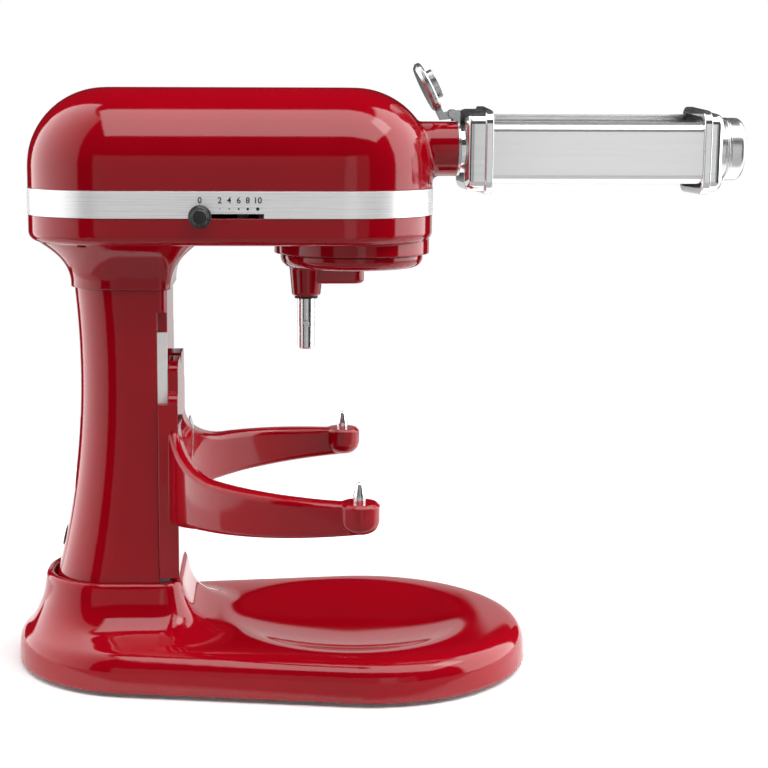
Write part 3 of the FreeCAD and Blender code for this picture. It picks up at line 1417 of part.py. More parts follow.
# Bridge over the spur gears with the upper bearings
bridge_rear, bridge_front = wheel_x - s.bridge_rear, planet + s.bridge_front
bridge_post_y = s.bridge_half_width - s.bridge_post_radius
bridge_posts = [
    rod(
        f"bridge_post_{n}", s.bridge_post_radius, s.bridge_bottom - case_floor + 1, x, bridge_post_y * side,
        case_floor,
    )
    for n, (x, side) in enumerate(
        (x, side) for x in (bridge_front - s.bridge_post_radius, bridge_rear + s.bridge_post_radius)
        for side in (1, -1))
]
bridge_plate = block("bridge_plate", (bridge_rear, -s.bridge_half_width, s.bridge_bottom),
                     (bridge_front, s.bridge_half_width, s.bridge_bottom + s.bridge_thick))
node(cut("gear_bridge", fuse("bridge_blank", bridge_plate, *bridge_posts),
         rod("bridge_planet_hole", bearing_radius, s.bridge_thick + 2, planet, 0, s.bridge_bottom - 1),
         rod("bridge_wheel_hole", wheel_bush_radius, s.bridge_thick + 2, wheel_x, wheel_y,
             s.bridge_bottom - 1)))
motor_bearings = [
    tube(
        f"motor_bearing_{n}", s.motor_shaft_radius + s.shaft_gap, s.motor_bearing_radius,
        s.motor_bearing_width, x, 0, s.motor_height, "x",
    )
    for n, x in enumerate((rear_bearing, front_bearing))
]
node(group(
    "shaft_bearings", *motor_bearings,
    tube(
        "planet_bearing_low", s.planet_shaft_radius + s.shaft_gap, bearing_radius, s.bearing_width, planet,
        0, s.head_bottom + 3,
    ),
    tube(
        "planet_bearing_high", s.planet_shaft_radius + s.shaft_gap, bearing_radius, s.bridge_thick, planet,
        0, s.bridge_bottom,
    ),
    tube(
        "wheel_bush_low", s.wheel_shaft_radius + s.shaft_gap, wheel_bush_radius, boss_top - case_floor - 2,
        wheel_x, wheel_y, case_floor + 2,
    ),
    tube(
        "wheel_bush_high", s.wheel_shaft_radius + s.shaft_gap, wheel_bush_radius, s.bridge_thick, wheel_x,
        wheel_y, s.bridge_bottom,
    ),
))

# Bevel pair that turns the attachment hub: both gears taper to the point where their axes cross
def bevel_gear(teeth, pitch, reach, bore, turn):
    slant = math.hypot(pitch, reach)
    cone_angle = math.atan2(pitch, reach)
    tip = reach * math.tan(cone_angle + math.atan(0.8 * module / slant))
    low = reach * math.tan(cone_angle - math.atan(1.1 * module / slant))
    small = 1 - s.bevel_face.value / slant
    ends = [
        teeth_wire(teeth, pitch, tip, low, tooth_width(module), turn, reach * (1 - size), size)
        for size in (1, small)
    ]
    solid = Part.makeLoft(ends, True, True)
    hub_length = s.bevel_hub_length.value
    hub = Part.makeCylinder(min(low - 3, s.bevel_hub_radius.value), hub_length, Vector(0, 0, -hub_length))
    return solid.fuse(hub).cut(Part.makeCylinder(bore, 40, Vector(0, 0, -20)))


node(feature("main_bevel_gear", bevel_gear(
    int(s.bevel_teeth.value), bevel_pitch.value, hub_bevel_pitch.value, s.planet_shaft_radius.value, 0.0,
), planet, 0, bevel_plane))
hub_teeth = int(s.hub_bevel_teeth.value)
node(feature("hub_bevel_gear", bevel_gear(
    hub_teeth, hub_bevel_pitch.value, bevel_pitch.value, s.hub_shaft_radius.value, math.pi / hub_teeth,
), planet + bevel_pitch, 0, s.hub_height, (0, 1, 0), -90))

# Hub: sleeve in the boss, drive shaft with a square socket, and a chrome ring that carries the cap's hinge
bore_back = hub_front - s.hub_bore_depth
sleeve_blank = tube(
    "sleeve_blank", s.hub_shaft_radius + s.shaft_gap, s.hub_sleeve_radius, hub_front - sleeve_back,
    sleeve_back, 0, s.hub_height, "x",
)
sleeve_bore = rod("sleeve_bore", s.hub_bore_radius, s.hub_bore_depth + 1, bore_back, 0, s.hub_height, "x")
node(cut("hub_sleeve", sleeve_blank, sleeve_bore,
         rod("sleeve_thumb_hole", s.thumb_screw_radius + s.shaft_gap, 25, thumb_x, 5, s.hub_height, "y")))
drive_back = planet + bevel_pitch * (1 - s.bevel_face / root(
    bevel_pitch * bevel_pitch + hub_bevel_pitch * hub_bevel_pitch))
drive_front = hub_front - 10
socket_back = bore_back + 4
drive_rod = rod("drive_rod", s.hub_shaft_radius, drive_front - drive_back, drive_back, 0, s.hub_height, "x")
drive_socket = block("drive_socket", (socket_back, -s.socket_half, s.hub_height - s.socket_half),
                     (drive_front + 1, s.socket_half, s.hub_height + s.socket_half))
node(cut("hub_drive_shaft", drive_rod, drive_socket))
hinge_x = hub_front - s.cap_hinge_back
hinge_z = s.hub_height + s.cap_hinge_rise
ear_in = s.cap_hinge_half + s.running_gap
ring_front = hub_front + s.hub_ring_thick
ears = []
for n, low in enumerate((ear_in, -ear_in - s.ear_thick)):
    ears += [
        block(
            f"ear_web_{n}", (hinge_x, low, s.hub_height + s.hub_boss_radius + 0.2),
            (ring_front, low + s.ear_thick, hinge_z + s.cap_hinge_radius),
        ),
        block(
            f"ear_foot_{n}", (hub_front, low, s.hub_height + s.hub_bore_radius + 1),
            (ring_front, low + s.ear_thick, hinge_z),
        ),
        rod(f"ear_eye_{n}", s.cap_hinge_radius + 0.6, s.ear_thick, hinge_x, low, hinge_z, "y"),
    ]
hub_ring_blank = tube("hub_ring_blank", s.hub_bore_radius, s.hub_boss_radius, s.hub_ring_thick, hub_front, 0,
                      s.hub_height, "x")
pin_half = ear_in + s.ear_thick
node(cut("hub_ring", fuse("hub_ring_ears", hub_ring_blank, *ears),
         rod("ear_pin_hole", s.cap_hinge_pin, pin_half * 2 + 2, hinge_x, -pin_half - 1, hinge_z, "y")))
node(rod("hub_cap_pin", s.cap_hinge_pin, pin_half * 2, hinge_x, -pin_half, hinge_z, "y"))

# Hub cap, drawn closed about its hinge and swung open: a dished disc with a plug and an arm
def on_hinge(item):
    return place(item, hinge_x, 0, hinge_z, (0, 1, 0), s.cap_swing)


cap_blank = doc.addObject("PartDesign::Body", "cap_blank")
cap_low, cap_high = s.cap_offset - s.cap_thick / 2, s.cap_offset + s.cap_thick / 2
arm_outline = draw(
    sketch(cap_blank, "cap_arm", "XZ_Plane"),
    (-s.cap_hinge_radius, 0),
    (0, -s.cap_hinge_radius, s.cap_hinge_radius, (-s.cap_hinge_radius * half_turn,
        -s.cap_hinge_radius * half_turn)),
    (cap_low, -s.cap_hinge_radius - 1),
    (cap_low, s.cap_radius - s.cap_hinge_rise - 6),
    (cap_high - 1, s.cap_radius - s.cap_hinge_rise - 6),
    (cap_high - 1, 0),
    (s.cap_hinge_radius, s.cap_hinge_radius),
    (0, s.cap_hinge_radius),
    (-s.cap_hinge_radius, 0, s.cap_hinge_radius, (-s.cap_hinge_radius * half_turn,
        s.cap_hinge_radius * half_turn)),
)
pad(cap_blank, arm_outline, s.cap_hinge_half * 2, both=True)
disc_blank = doc.addObject("PartDesign::Body", "disc_blank")
disc_profile = draw(
    sketch(disc_blank, "disc_profile", "XY_Plane", -s.cap_hinge_rise),
    (cap_low - s.cap_plug_height, 0),
    (cap_low - s.cap_plug_height, s.cap_plug_radius),
    (cap_low, s.cap_plug_radius),
    (cap_low, s.cap_radius - 1),
    (cap_low + 1, s.cap_radius),
    (cap_high - 2, s.cap_radius),
    (cap_high, s.cap_radius - 2),
    (cap_high, 0),
    (cap_low - s.cap_plug_height, 0),
)
revolve(disc_blank, disc_profile, "H_Axis")
hinge_bore = rod(
    "hinge_bore", s.cap_hinge_pin + s.shaft_gap, s.cap_hinge_half * 2 + 2, 0, -s.cap_hinge_half - 1, 0, "y",
)
node(on_hinge(cut("hub_cap", fuse("cap_solid", cap_blank, disc_blank), hinge_bore)))

# Thumb screw that clamps an attachment in the hub
thumb_in = s.hub_bore_radius + 0.1
knob_in = s.hub_boss_radius + 2
thumb_shank = rod(
    "thumb_shank", s.thumb_screw_radius, knob_in - thumb_in + 1, thumb_x, thumb_in, s.hub_height, "y",
)
thumb_head = body("thumb_head", thumb_x, knob_in, s.hub_height)
thumb_pad = pad(thumb_head, draw(
    sketch(thumb_head, "thumb_plan", "XZ_Plane"),
    *[(s.thumb_knob_radius * (0.88 if n % 2 else 1.0) * math.cos(math.pi * n / 12),
       s.thumb_knob_radius * (0.88 if n % 2 else 1.0) * math.sin(math.pi * n / 12)) for n in range(25)],
), s.thumb_knob_length, back=True)
node(fuse("hub_thumb_screw", thumb_shank, thumb_head))

# Speed lever: a flat bar on a slider inside the case, with a round knob outside the band
bar_low = s.band_bottom + s.running_gap * 2
slider_out, slider_in = 8 - s.head_half_width, 16 - s.head_half_width
guide_top = case_floor + 10.6
slider_low = guide_top + s.running_gap
lever_bar = block("lever_bar", (lever_x - s.lever_half_width, -s.speed_knob_reach - 1, bar_low),
                  (lever_x + s.lever_half_width, slider_in, bar_low + s.lever_thick))
slider = block(
    "lever_slider", (lever_x - 7, slider_out, slider_low),
    (lever_x + 7, slider_in, bar_low + s.lever_thick),
)
tongue = block(
    "lever_tongue", (lever_x - 7, slider_out + 2.5, guide_top - 5),
    (lever_x + 7, slider_in - 2.5, slider_low),
)
node(fuse("speed_lever", lever_bar, slider, tongue))
knob = body("speed_knob_body", lever_x, -s.speed_knob_reach, bar_low + s.lever_thick / 2)
knob_end = -s.speed_knob_length
revolve(knob, draw(
    sketch(knob, "speed_knob_profile", "XY_Plane"),
    (0, 0), (s.speed_knob_radius - 1.5, 0), (s.speed_knob_radius, -1.5), (s.speed_knob_radius, knob_end + 3),
    (s.speed_knob_radius - 2, knob_end + 0.8), (s.speed_knob_radius - 4, knob_end), (0, knob_end), (0, 0),
))
node(cut("speed_knob", knob, block(
    "knob_slit",
    (lever_x - s.lever_half_width, -s.speed_knob_reach - 1, bar_low),
    (lever_x + s.lever_half_width, 1 - s.speed_knob_reach, bar_low + s.lever_thick),
)))
guide_block = block("guide_block", (lever_x - 12, slider_out - 1, case_floor),
                    (lever_x + s.lever_travel + 12, slider_in + 2, guide_top))
guide_groove = block(
    "guide_groove",
    (lever_x - 7 - 0.5, slider_out + 2.5 - s.running_gap, guide_top - 5 - s.running_gap),
    (lever_x + s.lever_travel + 7.5, slider_in - 2.5 + s.running_gap, guide_top + 1),
)
node(cut("speed_guide", guide_block, guide_groove))

# Pasta roller: two end covers over bearing plates, front and back covers, and a pair of geared rollers
unit_x = planet + s.unit_start
frame_x = unit_x + s.inner_cap_length
frame_end = frame_x + s.unit_span
unit_z = s.hub_height - s.unit_drop


# A block with rounded edges along x, whose top rises towards the back
def cover_block(name, x, length, grow):
    item = body(name, x, s.unit_y, unit_z)
    half, high = s.unit_half_depth + grow, s.unit_half_height + grow
    blank = pad(item, draw(
        sketch(item, f"{name}_outline", "YZ_Plane"),
        (-half, -high), (half, -high), (half, high + s.unit_slope), (-half, high), (-half, -high),
    ), length)
    return item, round_edges(item, blank, s.unit_round + grow, lambda edge: edge.BoundBox.XLength > 1)


# An end cover is a hollow pillow with a wider rim against the front plate
def end_cover(name, x, length, outward):
    pillow, blank = cover_block(f"{name}_pillow", x, length, 0)
    face = length.value if outward else 0
    round_edges(
        pillow, blank, s.unit_end_round, lambda edge: all(abs(v.X - face) < 1e-4 for v in edge.Vertexes),
    )
    rim_x = x if outward else x + length - s.unit_rim_width
    rim_block, rim_blank = cover_block(f"{name}_rim", rim_x, s.unit_rim_width, s.unit_rim_proud)
    round_edges(rim_block, rim_blank, s.unit_rim_proud / 2, lambda edge: edge.BoundBox.XLength < 1e-4)
    core, _ = cover_block(
        f"{name}_core", x if outward else x + s.unit_wall, length - s.unit_wall, -s.unit_wall,
    )
    return cut(f"{name}_hollow", fuse(f"{name}_shell", pillow, rim_block), core)


inner_cover = end_cover("inner_cover", unit_x, s.inner_cap_length, False)
spigot = rod("spigot", s.spigot_radius, s.spigot_length + 1, unit_x - s.spigot_length, 0, s.hub_height, "x")
spigot_collar = rod("spigot_collar", s.spigot_collar_radius, unit_x - ring_front - s.running_gap + 1,
                    ring_front + s.running_gap, 0, s.hub_height, "x")
node(cut("roller_inner_cover", fuse("inner_cover_blank", inner_cover, spigot, spigot_collar),
         rod("spigot_hole", s.spigot_bore, s.spigot_length + s.unit_wall + 2, unit_x - s.spigot_length - 1, 0,
             s.hub_height, "x")))
outer_cover = end_cover("outer_cover", frame_end, s.outer_cap_length, True)
knob_y = s.unit_y
node(cut("roller_outer_cover", outer_cover, rod(
    "knob_hole", s.gap_shaft_radius + s.shaft_gap, s.unit_wall + 4,
    frame_end + s.outer_cap_length - s.unit_wall - 2, knob_y, s.hub_height, "x",
)))
idle_y = s.roller_pitch
plate_half = s.unit_half_depth - s.cover_thick
plate_high = s.cover_half_height - s.cover_thick
lip_in = s.cover_lip - s.cover_thick
slot_half_width = s.block_half_width + s.running_gap
slot_half_height = s.block_half_height + s.running_gap
side_plates = []
for n, x in enumerate((frame_x, frame_end - s.side_plate_thick)):
    plate = body(f"side_plate_blank_{n}", x, s.unit_y, unit_z)
    pad(
        plate,
        rounded(
            sketch(plate, f"side_plate_outline_{n}", "YZ_Plane"), -plate_half, plate_half, plate_high,
            lip_in, lip_in,
        ),
        s.side_plate_thick,
    )
    side_plates.append(cut(
        f"side_plate_{n}", plate,
        rod(
            f"drive_hole_{n}", s.roller_shaft_radius + s.shaft_gap, s.side_plate_thick + 2, x - 1, 0,
            s.hub_height, "x",
        ),
        block(
            f"block_slot_{n}",
            (x - 1, idle_y - slot_half_width, s.hub_height - slot_half_height),
            (x + s.side_plate_thick + 1, idle_y + slot_half_width + s.gap_travel,
             s.hub_height + slot_half_height),
        ),
    ))
node(group("roller_side_plates", *side_plates))


# A sheet cover with its top and bottom edges rolled inwards
def sheet_cover(name, y, side, rise):
    sheet = body(name, frame_x, y, unit_z)
    top, low = s.cover_half_height + rise, -s.cover_half_height
    lip, thick, bend = s.cover_lip, s.cover_thick, s.cover_lip * (1 - half_turn)
    inner_bend = thick + lip_in * (1 - half_turn)
    pad(sheet, draw(
        sketch(sheet, f"{name}_outline", "YZ_Plane"),
        (lip * side, low),
        (0, low + lip, lip, (bend * side, low + bend)),
        (0, top - lip),
        (lip * side, top, lip, (bend * side, top - bend)),
        (lip * side, top - thick),
        (thick * side, top - lip, lip_in, (inner_bend * side, top - inner_bend)),
        (thick * side, low + lip),
        (lip * side, low + thick, lip_in, (inner_bend * side, low + inner_bend)),
        (lip * side, low),
    ), s.unit_span)
    return node(sheet)


sheet_cover("roller_front_cover", s.unit_y - s.unit_half_depth, 1, 0)
sheet_cover("roller_back_cover", s.unit_y + s.unit_half_depth, -1, s.tray_rise)
roller_start = frame_x + s.side_plate_thick + s.roller_end_gap
roller_length = s.unit_span - (s.side_plate_thick + s.roller_end_gap) * 2
gear_x = frame_end + 2
tail_start = socket_back + 1
drive_drum = rod("drive_drum", s.roller_radius, roller_length, roller_start, 0, s.hub_height, "x")
gear_end = gear_x + s.roller_gear_width
drive_axle = rod("drive_axle", s.roller_shaft_radius, gear_end - unit_x, unit_x, 0, s.hub_height, "x")
drive_tail = block("drive_tail", (tail_start, -s.tail_half, s.hub_height - s.tail_half),
                   (unit_x + 1, s.tail_half, s.hub_height + s.tail_half))
idle_drum = rod("idle_drum", s.roller_radius, roller_length, roller_start, idle_y, s.hub_height, "x")
idle_axle = rod(
    "idle_axle", s.roller_shaft_radius, gear_end - frame_x + 2, frame_x - 2, idle_y, s.hub_height, "x",
)
roller_teeth = int(s.roller_gear_teeth.value)
roller_module = idle_y.value / roller_teeth
roller_gears = [
    feature(
        f"roller_gear_{n}", spur_gear(roller_teeth, roller_module, s.roller_gear_width.value, 2, turn),
        gear_x, y, s.hub_height, *forward,
    )
    for n, (y, turn) in enumerate(((0, 0.0), (idle_y, math.pi / roller_teeth)))
]
node(fuse("drive_roller", drive_drum, drive_axle, drive_tail, roller_gears[0]))
node(fuse("idle_roller", idle_drum, idle_axle, roller_gears[1]))
node(group("roller_bearing_blocks", *[
    cut(f"bearing_block_{n}",
        block(
            f"bearing_block_blank_{n}",
            (x, idle_y - s.block_half_width, s.hub_height - s.block_half_height),
            (x + s.side_plate_thick, idle_y + s.block_half_width, s.hub_height + s.block_half_height),
        ),
        rod(f"bearing_block_hole_{n}", s.roller_shaft_radius + s.shaft_gap, s.side_plate_thick + 2, x - 1,
            idle_y,
            s.hub_height, "x"))
    for n, x in enumerate((frame_x, frame_end - s.side_plate_thick))
]))
knob_start = frame_end + s.outer_cap_length + s.running_gap
gap_knob = body("gap_knob", knob_start, knob_y, s.hub_height)
knob_long, knob_wide, knob_neck = s.gap_knob_length, s.gap_knob_radius, s.gap_knob_neck
shaft_in = -s.unit_wall - s.running_gap - 1.5
neck_end, flare_end, crown = 4, 8, 4.5
flare_run, flare_rise = as_size(flare_end - neck_end) / 2, (knob_wide - knob_neck) / 2
crown_bend = (flare_run * flare_run + flare_rise * flare_rise) / (flare_rise * 2)
flare_middle = crown_bend - root(crown_bend * crown_bend - flare_run * flare_run / 4)
crown_bend = crown * (1 - half_turn)
revolve(gap_knob, draw(
    sketch(gap_knob, "gap_knob_profile", "XY_Plane"),
    (shaft_in, 0),
    (shaft_in, s.gap_shaft_radius),
    (0, s.gap_shaft_radius),
    (0, knob_neck),
    (neck_end, knob_neck),
    (neck_end + flare_run, knob_neck + flare_rise, crown_bend,
        (neck_end + flare_run / 2, knob_neck + flare_middle)),
    (flare_end, knob_wide, crown_bend, (flare_end - flare_run / 2, knob_wide - flare_middle)),
    (knob_long - crown, knob_wide),
    (knob_long, knob_wide - crown, as_size(crown), (knob_long - crown_bend, knob_wide - crown_bend)),
    (knob_long, 0),
    (shaft_in, 0),
), "H_Axis")
node(gap_knob)

# Every object must have built before anything is written
doc.recompute()
for item in doc.Objects:
    if "Invalid" in item.State or "Error" in item.State:
        raise RuntimeError(f"{item.Label} failed to build")
os.makedirs("parts", exist_ok=True)
for item in nodes:
    if item.Shape.isNull() or not item.Shape.isValid():
        raise RuntimeError(f"{item.Label} has no valid shape")
    item.Shape.exportStep(f"parts/{item.Label}.step")
    print(item.Label, len(item.Shape.Solids), round(item.Shape.Volume), item.Shape.BoundBox)
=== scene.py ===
import json
import math

import bmesh
import bpy
from mathutils import Matrix, Vector


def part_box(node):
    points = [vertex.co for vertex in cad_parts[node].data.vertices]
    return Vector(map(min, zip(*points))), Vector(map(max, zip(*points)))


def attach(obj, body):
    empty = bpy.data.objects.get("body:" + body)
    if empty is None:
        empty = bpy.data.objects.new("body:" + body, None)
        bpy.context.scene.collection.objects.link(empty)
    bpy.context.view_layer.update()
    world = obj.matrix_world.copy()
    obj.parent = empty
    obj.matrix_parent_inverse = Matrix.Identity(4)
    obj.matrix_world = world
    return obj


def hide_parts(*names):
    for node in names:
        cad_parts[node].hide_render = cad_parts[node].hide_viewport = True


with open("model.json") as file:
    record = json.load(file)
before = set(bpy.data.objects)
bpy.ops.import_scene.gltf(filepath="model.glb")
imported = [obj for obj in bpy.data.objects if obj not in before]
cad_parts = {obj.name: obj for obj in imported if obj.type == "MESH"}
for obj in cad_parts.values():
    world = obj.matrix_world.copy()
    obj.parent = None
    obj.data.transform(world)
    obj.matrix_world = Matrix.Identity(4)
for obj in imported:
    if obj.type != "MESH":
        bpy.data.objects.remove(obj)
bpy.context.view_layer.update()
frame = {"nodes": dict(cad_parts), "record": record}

nodes = frame["nodes"]
scene = bpy.context.scene
scene.view_settings.view_transform = "Standard"
print("frame loaded,", len(nodes), "parts")

# camera: a long lens a little above the table, looking slightly down, with its turns in degrees
view = {"place": (-0.07542, -1.16841, 0.39447), "down": 9.24557, "right": 1.0, "roll": 0.15213,
        "lens": 76.248, "sensor": 36.0, "shift": 0.10982, "clip": (0.05, 40)}


def turnAbout(axis, degrees):
    return Matrix.Rotation(math.radians(degrees), 3, axis)


def photoEye():
    eye = bpy.data.cameras.new("photoEye")
    eye.lens = view["lens"]
    eye.sensor_fit = "HORIZONTAL"
    eye.sensor_width = view["sensor"]
    eye.shift_x = view["shift"]
    eye.clip_start, eye.clip_end = view["clip"]
    holder = bpy.data.objects.new("photoEye", eye)
    holder.location = view["place"]
    tilt = turnAbout("X", 90 - view["down"]) @ turnAbout("Z", view["roll"])
    holder.rotation_euler = (turnAbout("Z", -view["right"]) @ tilt).to_euler()
    scene.collection.objects.link(holder)
    scene.camera = holder


photoEye()
print("camera set")


# node helpers
def makeNode(tree, kind, values=None, **settings):
    made = tree.nodes.new(kind)
    for name, value in settings.items():
        setattr(made, name, value)
    for name, value in (values or {}).items():
        made.inputs[name].default_value = value
    return made


def join(tree, source, target):
    tree.links.new(source, target)


def makeGroup(name, inputs, outputs):
    tree = bpy.data.node_groups.new(name, "ShaderNodeTree")
    for label, kind, value in inputs:
        socket = tree.interface.new_socket(label, in_out="INPUT", socket_type=kind)
        socket.default_value = value
    for label, kind in outputs:
        tree.interface.new_socket(label, in_out="OUTPUT", socket_type=kind)
    return tree, tree.nodes.new("NodeGroupInput"), tree.nodes.new("NodeGroupOutput")


def useGroup(tree, group, **values):
    return makeNode(tree, "ShaderNodeGroup", values, node_tree=group)


# one step of arithmetic on two values, each a plain number or what another node puts out
def workOut(tree, kind, first, second=0.0):
    made = makeNode(tree, "ShaderNodeMath", operation=kind)
    for socket, value in zip(made.inputs, (first, second)):
        if isinstance(value, (int, float)):
            socket.default_value = value
        else:
            join(tree, value, socket)
    return made.outputs["Value"]


# goes from the first level to the last while the value crosses the span
def ease(tree, value, span, levels=(0.0, 1.0), kind="SMOOTHSTEP"):
    ends = {"From Min": span[0], "From Max": span[1], "To Min": levels[0], "To Max": levels[1]}
    made = makeNode(tree, "ShaderNodeMapRange", ends, interpolation_type=kind)
    join(tree, value, made.inputs["Value"])
    return made.outputs["Result"]


# one inside the span and nothing outside it, with soft ends
def within(tree, value, span, soft):
    low, high = span
    rise = ease(tree, value, (low - soft, low + soft))
    fall = ease(tree, value, (high - soft, high + soft), (1.0, 0.0))
    return workOut(tree, "MULTIPLY", rise, fall)


def axesOf(tree, source):
    apart = makeNode(tree, "ShaderNodeSeparateXYZ")
    join(tree, source, apart.inputs["Vector"])
    return apart.outputs


# mottle: slow cloudy change and fine speckle over a surface, both around one half
def mottleGroup():
    tree, given, out = makeGroup("mottle",
                                 [("Cloud", "NodeSocketFloat", 30.0), ("Speckle", "NodeSocketFloat", 900.0)],
                                 [("Cloudy", "NodeSocketFloat"), ("Speckled", "NodeSocketFloat")])
    place = makeNode(tree, "ShaderNodeTexCoord")
    for label, size, detail in (("Cloudy", "Cloud", 3.0), ("Speckled", "Speckle", 2.0)):
        noise = makeNode(tree, "ShaderNodeTexNoise", {"Detail": detail, "Roughness": 0.55})
        join(tree, place.outputs["Object"], noise.inputs["Vector"])
        join(tree, given.outputs[size], noise.inputs["Scale"])
        join(tree, noise.outputs["Fac"], out.inputs[label])
    return tree


# brushing: fine parallel strokes and a slower drift, stretched by the three numbers in Along
def brushingGroup():
    tree, given, out = makeGroup("brushing", [("Along", "NodeSocketVector", (40.0, 40.0, 4000.0))],
                                 [("Stroke", "NodeSocketFloat"), ("Drift", "NodeSocketFloat")])
    place = makeNode(tree, "ShaderNodeTexCoord")
    stretch = makeNode(tree, "ShaderNodeVectorMath", operation="MULTIPLY")
    join(tree, place.outputs["Object"], stretch.inputs[0])
    join(tree, given.outputs["Along"], stretch.inputs[1])
    for label, size in (("Stroke", 1.0), ("Drift", 0.12)):
        noise = makeNode(tree, "ShaderNodeTexNoise", {"Scale": size, "Detail": 3.0, "Roughness": 0.65})
        join(tree, stretch.outputs["Vector"], noise.inputs["Vector"])
        join(tree, noise.outputs["Fac"], out.inputs[label])
    return tree


# rounding: edges broken by a small radius
def roundingGroup():
    tree, given, out = makeGroup("rounding", [("Radius", "NodeSocketFloat", 0.0006)],
                                 [("Normal", "NodeSocketVector")])
    soft = makeNode(tree, "ShaderNodeBevel", samples=6)
    join(tree, given.outputs["Radius"], soft.inputs["Radius"])
    join(tree, soft.outputs["Normal"], out.inputs["Normal"])
    return tree


mottle, brushing, rounding = mottleGroup(), brushingGroup(), roundingGroup()


def newFinish(name, **sockets):
    finish = bpy.data.materials.new(name)
    finish.use_nodes = True
    shader = finish.node_tree.nodes["Principled BSDF"]
    for label, value in sockets.items():
        shader.inputs[label.replace("_", " ")].default_value = value
    return finish, finish.node_tree, shader


def blendColours(tree, mask, low, high, target, span=(0.3, 0.7)):
    ramp = makeNode(tree, "ShaderNodeValToRGB")
    for stop, place, colour in zip(ramp.color_ramp.elements, span, (low, high)):
        stop.position = place
        stop.color = (*colour, 1.0)
    join(tree, mask, ramp.inputs["Fac"])
    join(tree, ramp.outputs["Color"], target)


def spread(tree, mask, levels, target, span=(0.25, 0.75)):
    join(tree, ease(tree, mask, span, levels, "LINEAR"), target)


def raiseSurface(tree, shader, height, strength, depth, radius):
    edges = useGroup(tree, rounding, Radius=radius)
    bump = makeNode(tree, "ShaderNodeBump", {"Strength": strength, "Distance": depth})
    join(tree, edges.outputs["Normal"], bump.inputs["Normal"])
    join(tree, height, bump.inputs["Height"])
    join(tree, bump.outputs["Normal"], shader.inputs["Normal"])


# deep red enamel: glossy and a little wavy, as sprayed and baked paint is
enamel = {"deep": (0.31, 0.0006, 0.0066), "bright": (0.345, 0.0008, 0.0078), "rough": (0.045, 0.075),
          "cloud": 14.0, "speckle": 420.0, "ripple": 0.04, "rippleDepth": 0.0001, "edge": 0.0016}


def redEnamel():
    finish, tree, shader = newFinish("redEnamel", IOR=1.5)
    cloud = useGroup(tree, mottle, Cloud=enamel["cloud"], Speckle=enamel["speckle"])
    blendColours(tree, cloud.outputs["Cloudy"], enamel["deep"], enamel["bright"], shader.inputs["Base Color"])
    spread(tree, cloud.outputs["Cloudy"], enamel["rough"], shader.inputs["Roughness"])
    raiseSurface(tree, shader, cloud.outputs["Speckled"], enamel["ripple"], enamel["rippleDepth"],
                 enamel["edge"])
    return finish


# metals: a brushed or polished skin, given by colour, roughness, stroke direction and edge radius
def metalFinish(name, low, high, rough, along, depth=0.00002, edge=0.0004, relief=0.25, **sockets):
    finish, tree, shader = newFinish(name, **{"Metallic": 1.0, **sockets})
    strokes = useGroup(tree, brushing, Along=along)
    blendColours(tree, strokes.outputs["Drift"], low, high, shader.inputs["Base Color"])
    spread(tree, strokes.outputs["Stroke"], rough, shader.inputs["Roughness"])
    raiseSurface(tree, shader, strokes.outputs["Stroke"], relief, depth, edge)
    return finish


# plain skins: plastic, rubber and cast metal with a speckled texture
def speckledFinish(name, low, high, rough, grain, depth, cloud=0.08, edge=0.0004, relief=0.3, **sockets):
    finish, tree, shader = newFinish(name, **sockets)
    skin = useGroup(tree, mottle, Cloud=grain * cloud, Speckle=grain)
    blendColours(tree, skin.outputs["Cloudy"], low, high, shader.inputs["Base Color"])
    spread(tree, skin.outputs["Speckled"], rough, shader.inputs["Roughness"])
    raiseSurface(tree, shader, skin.outputs["Speckled"], relief, depth, edge)
    return finish


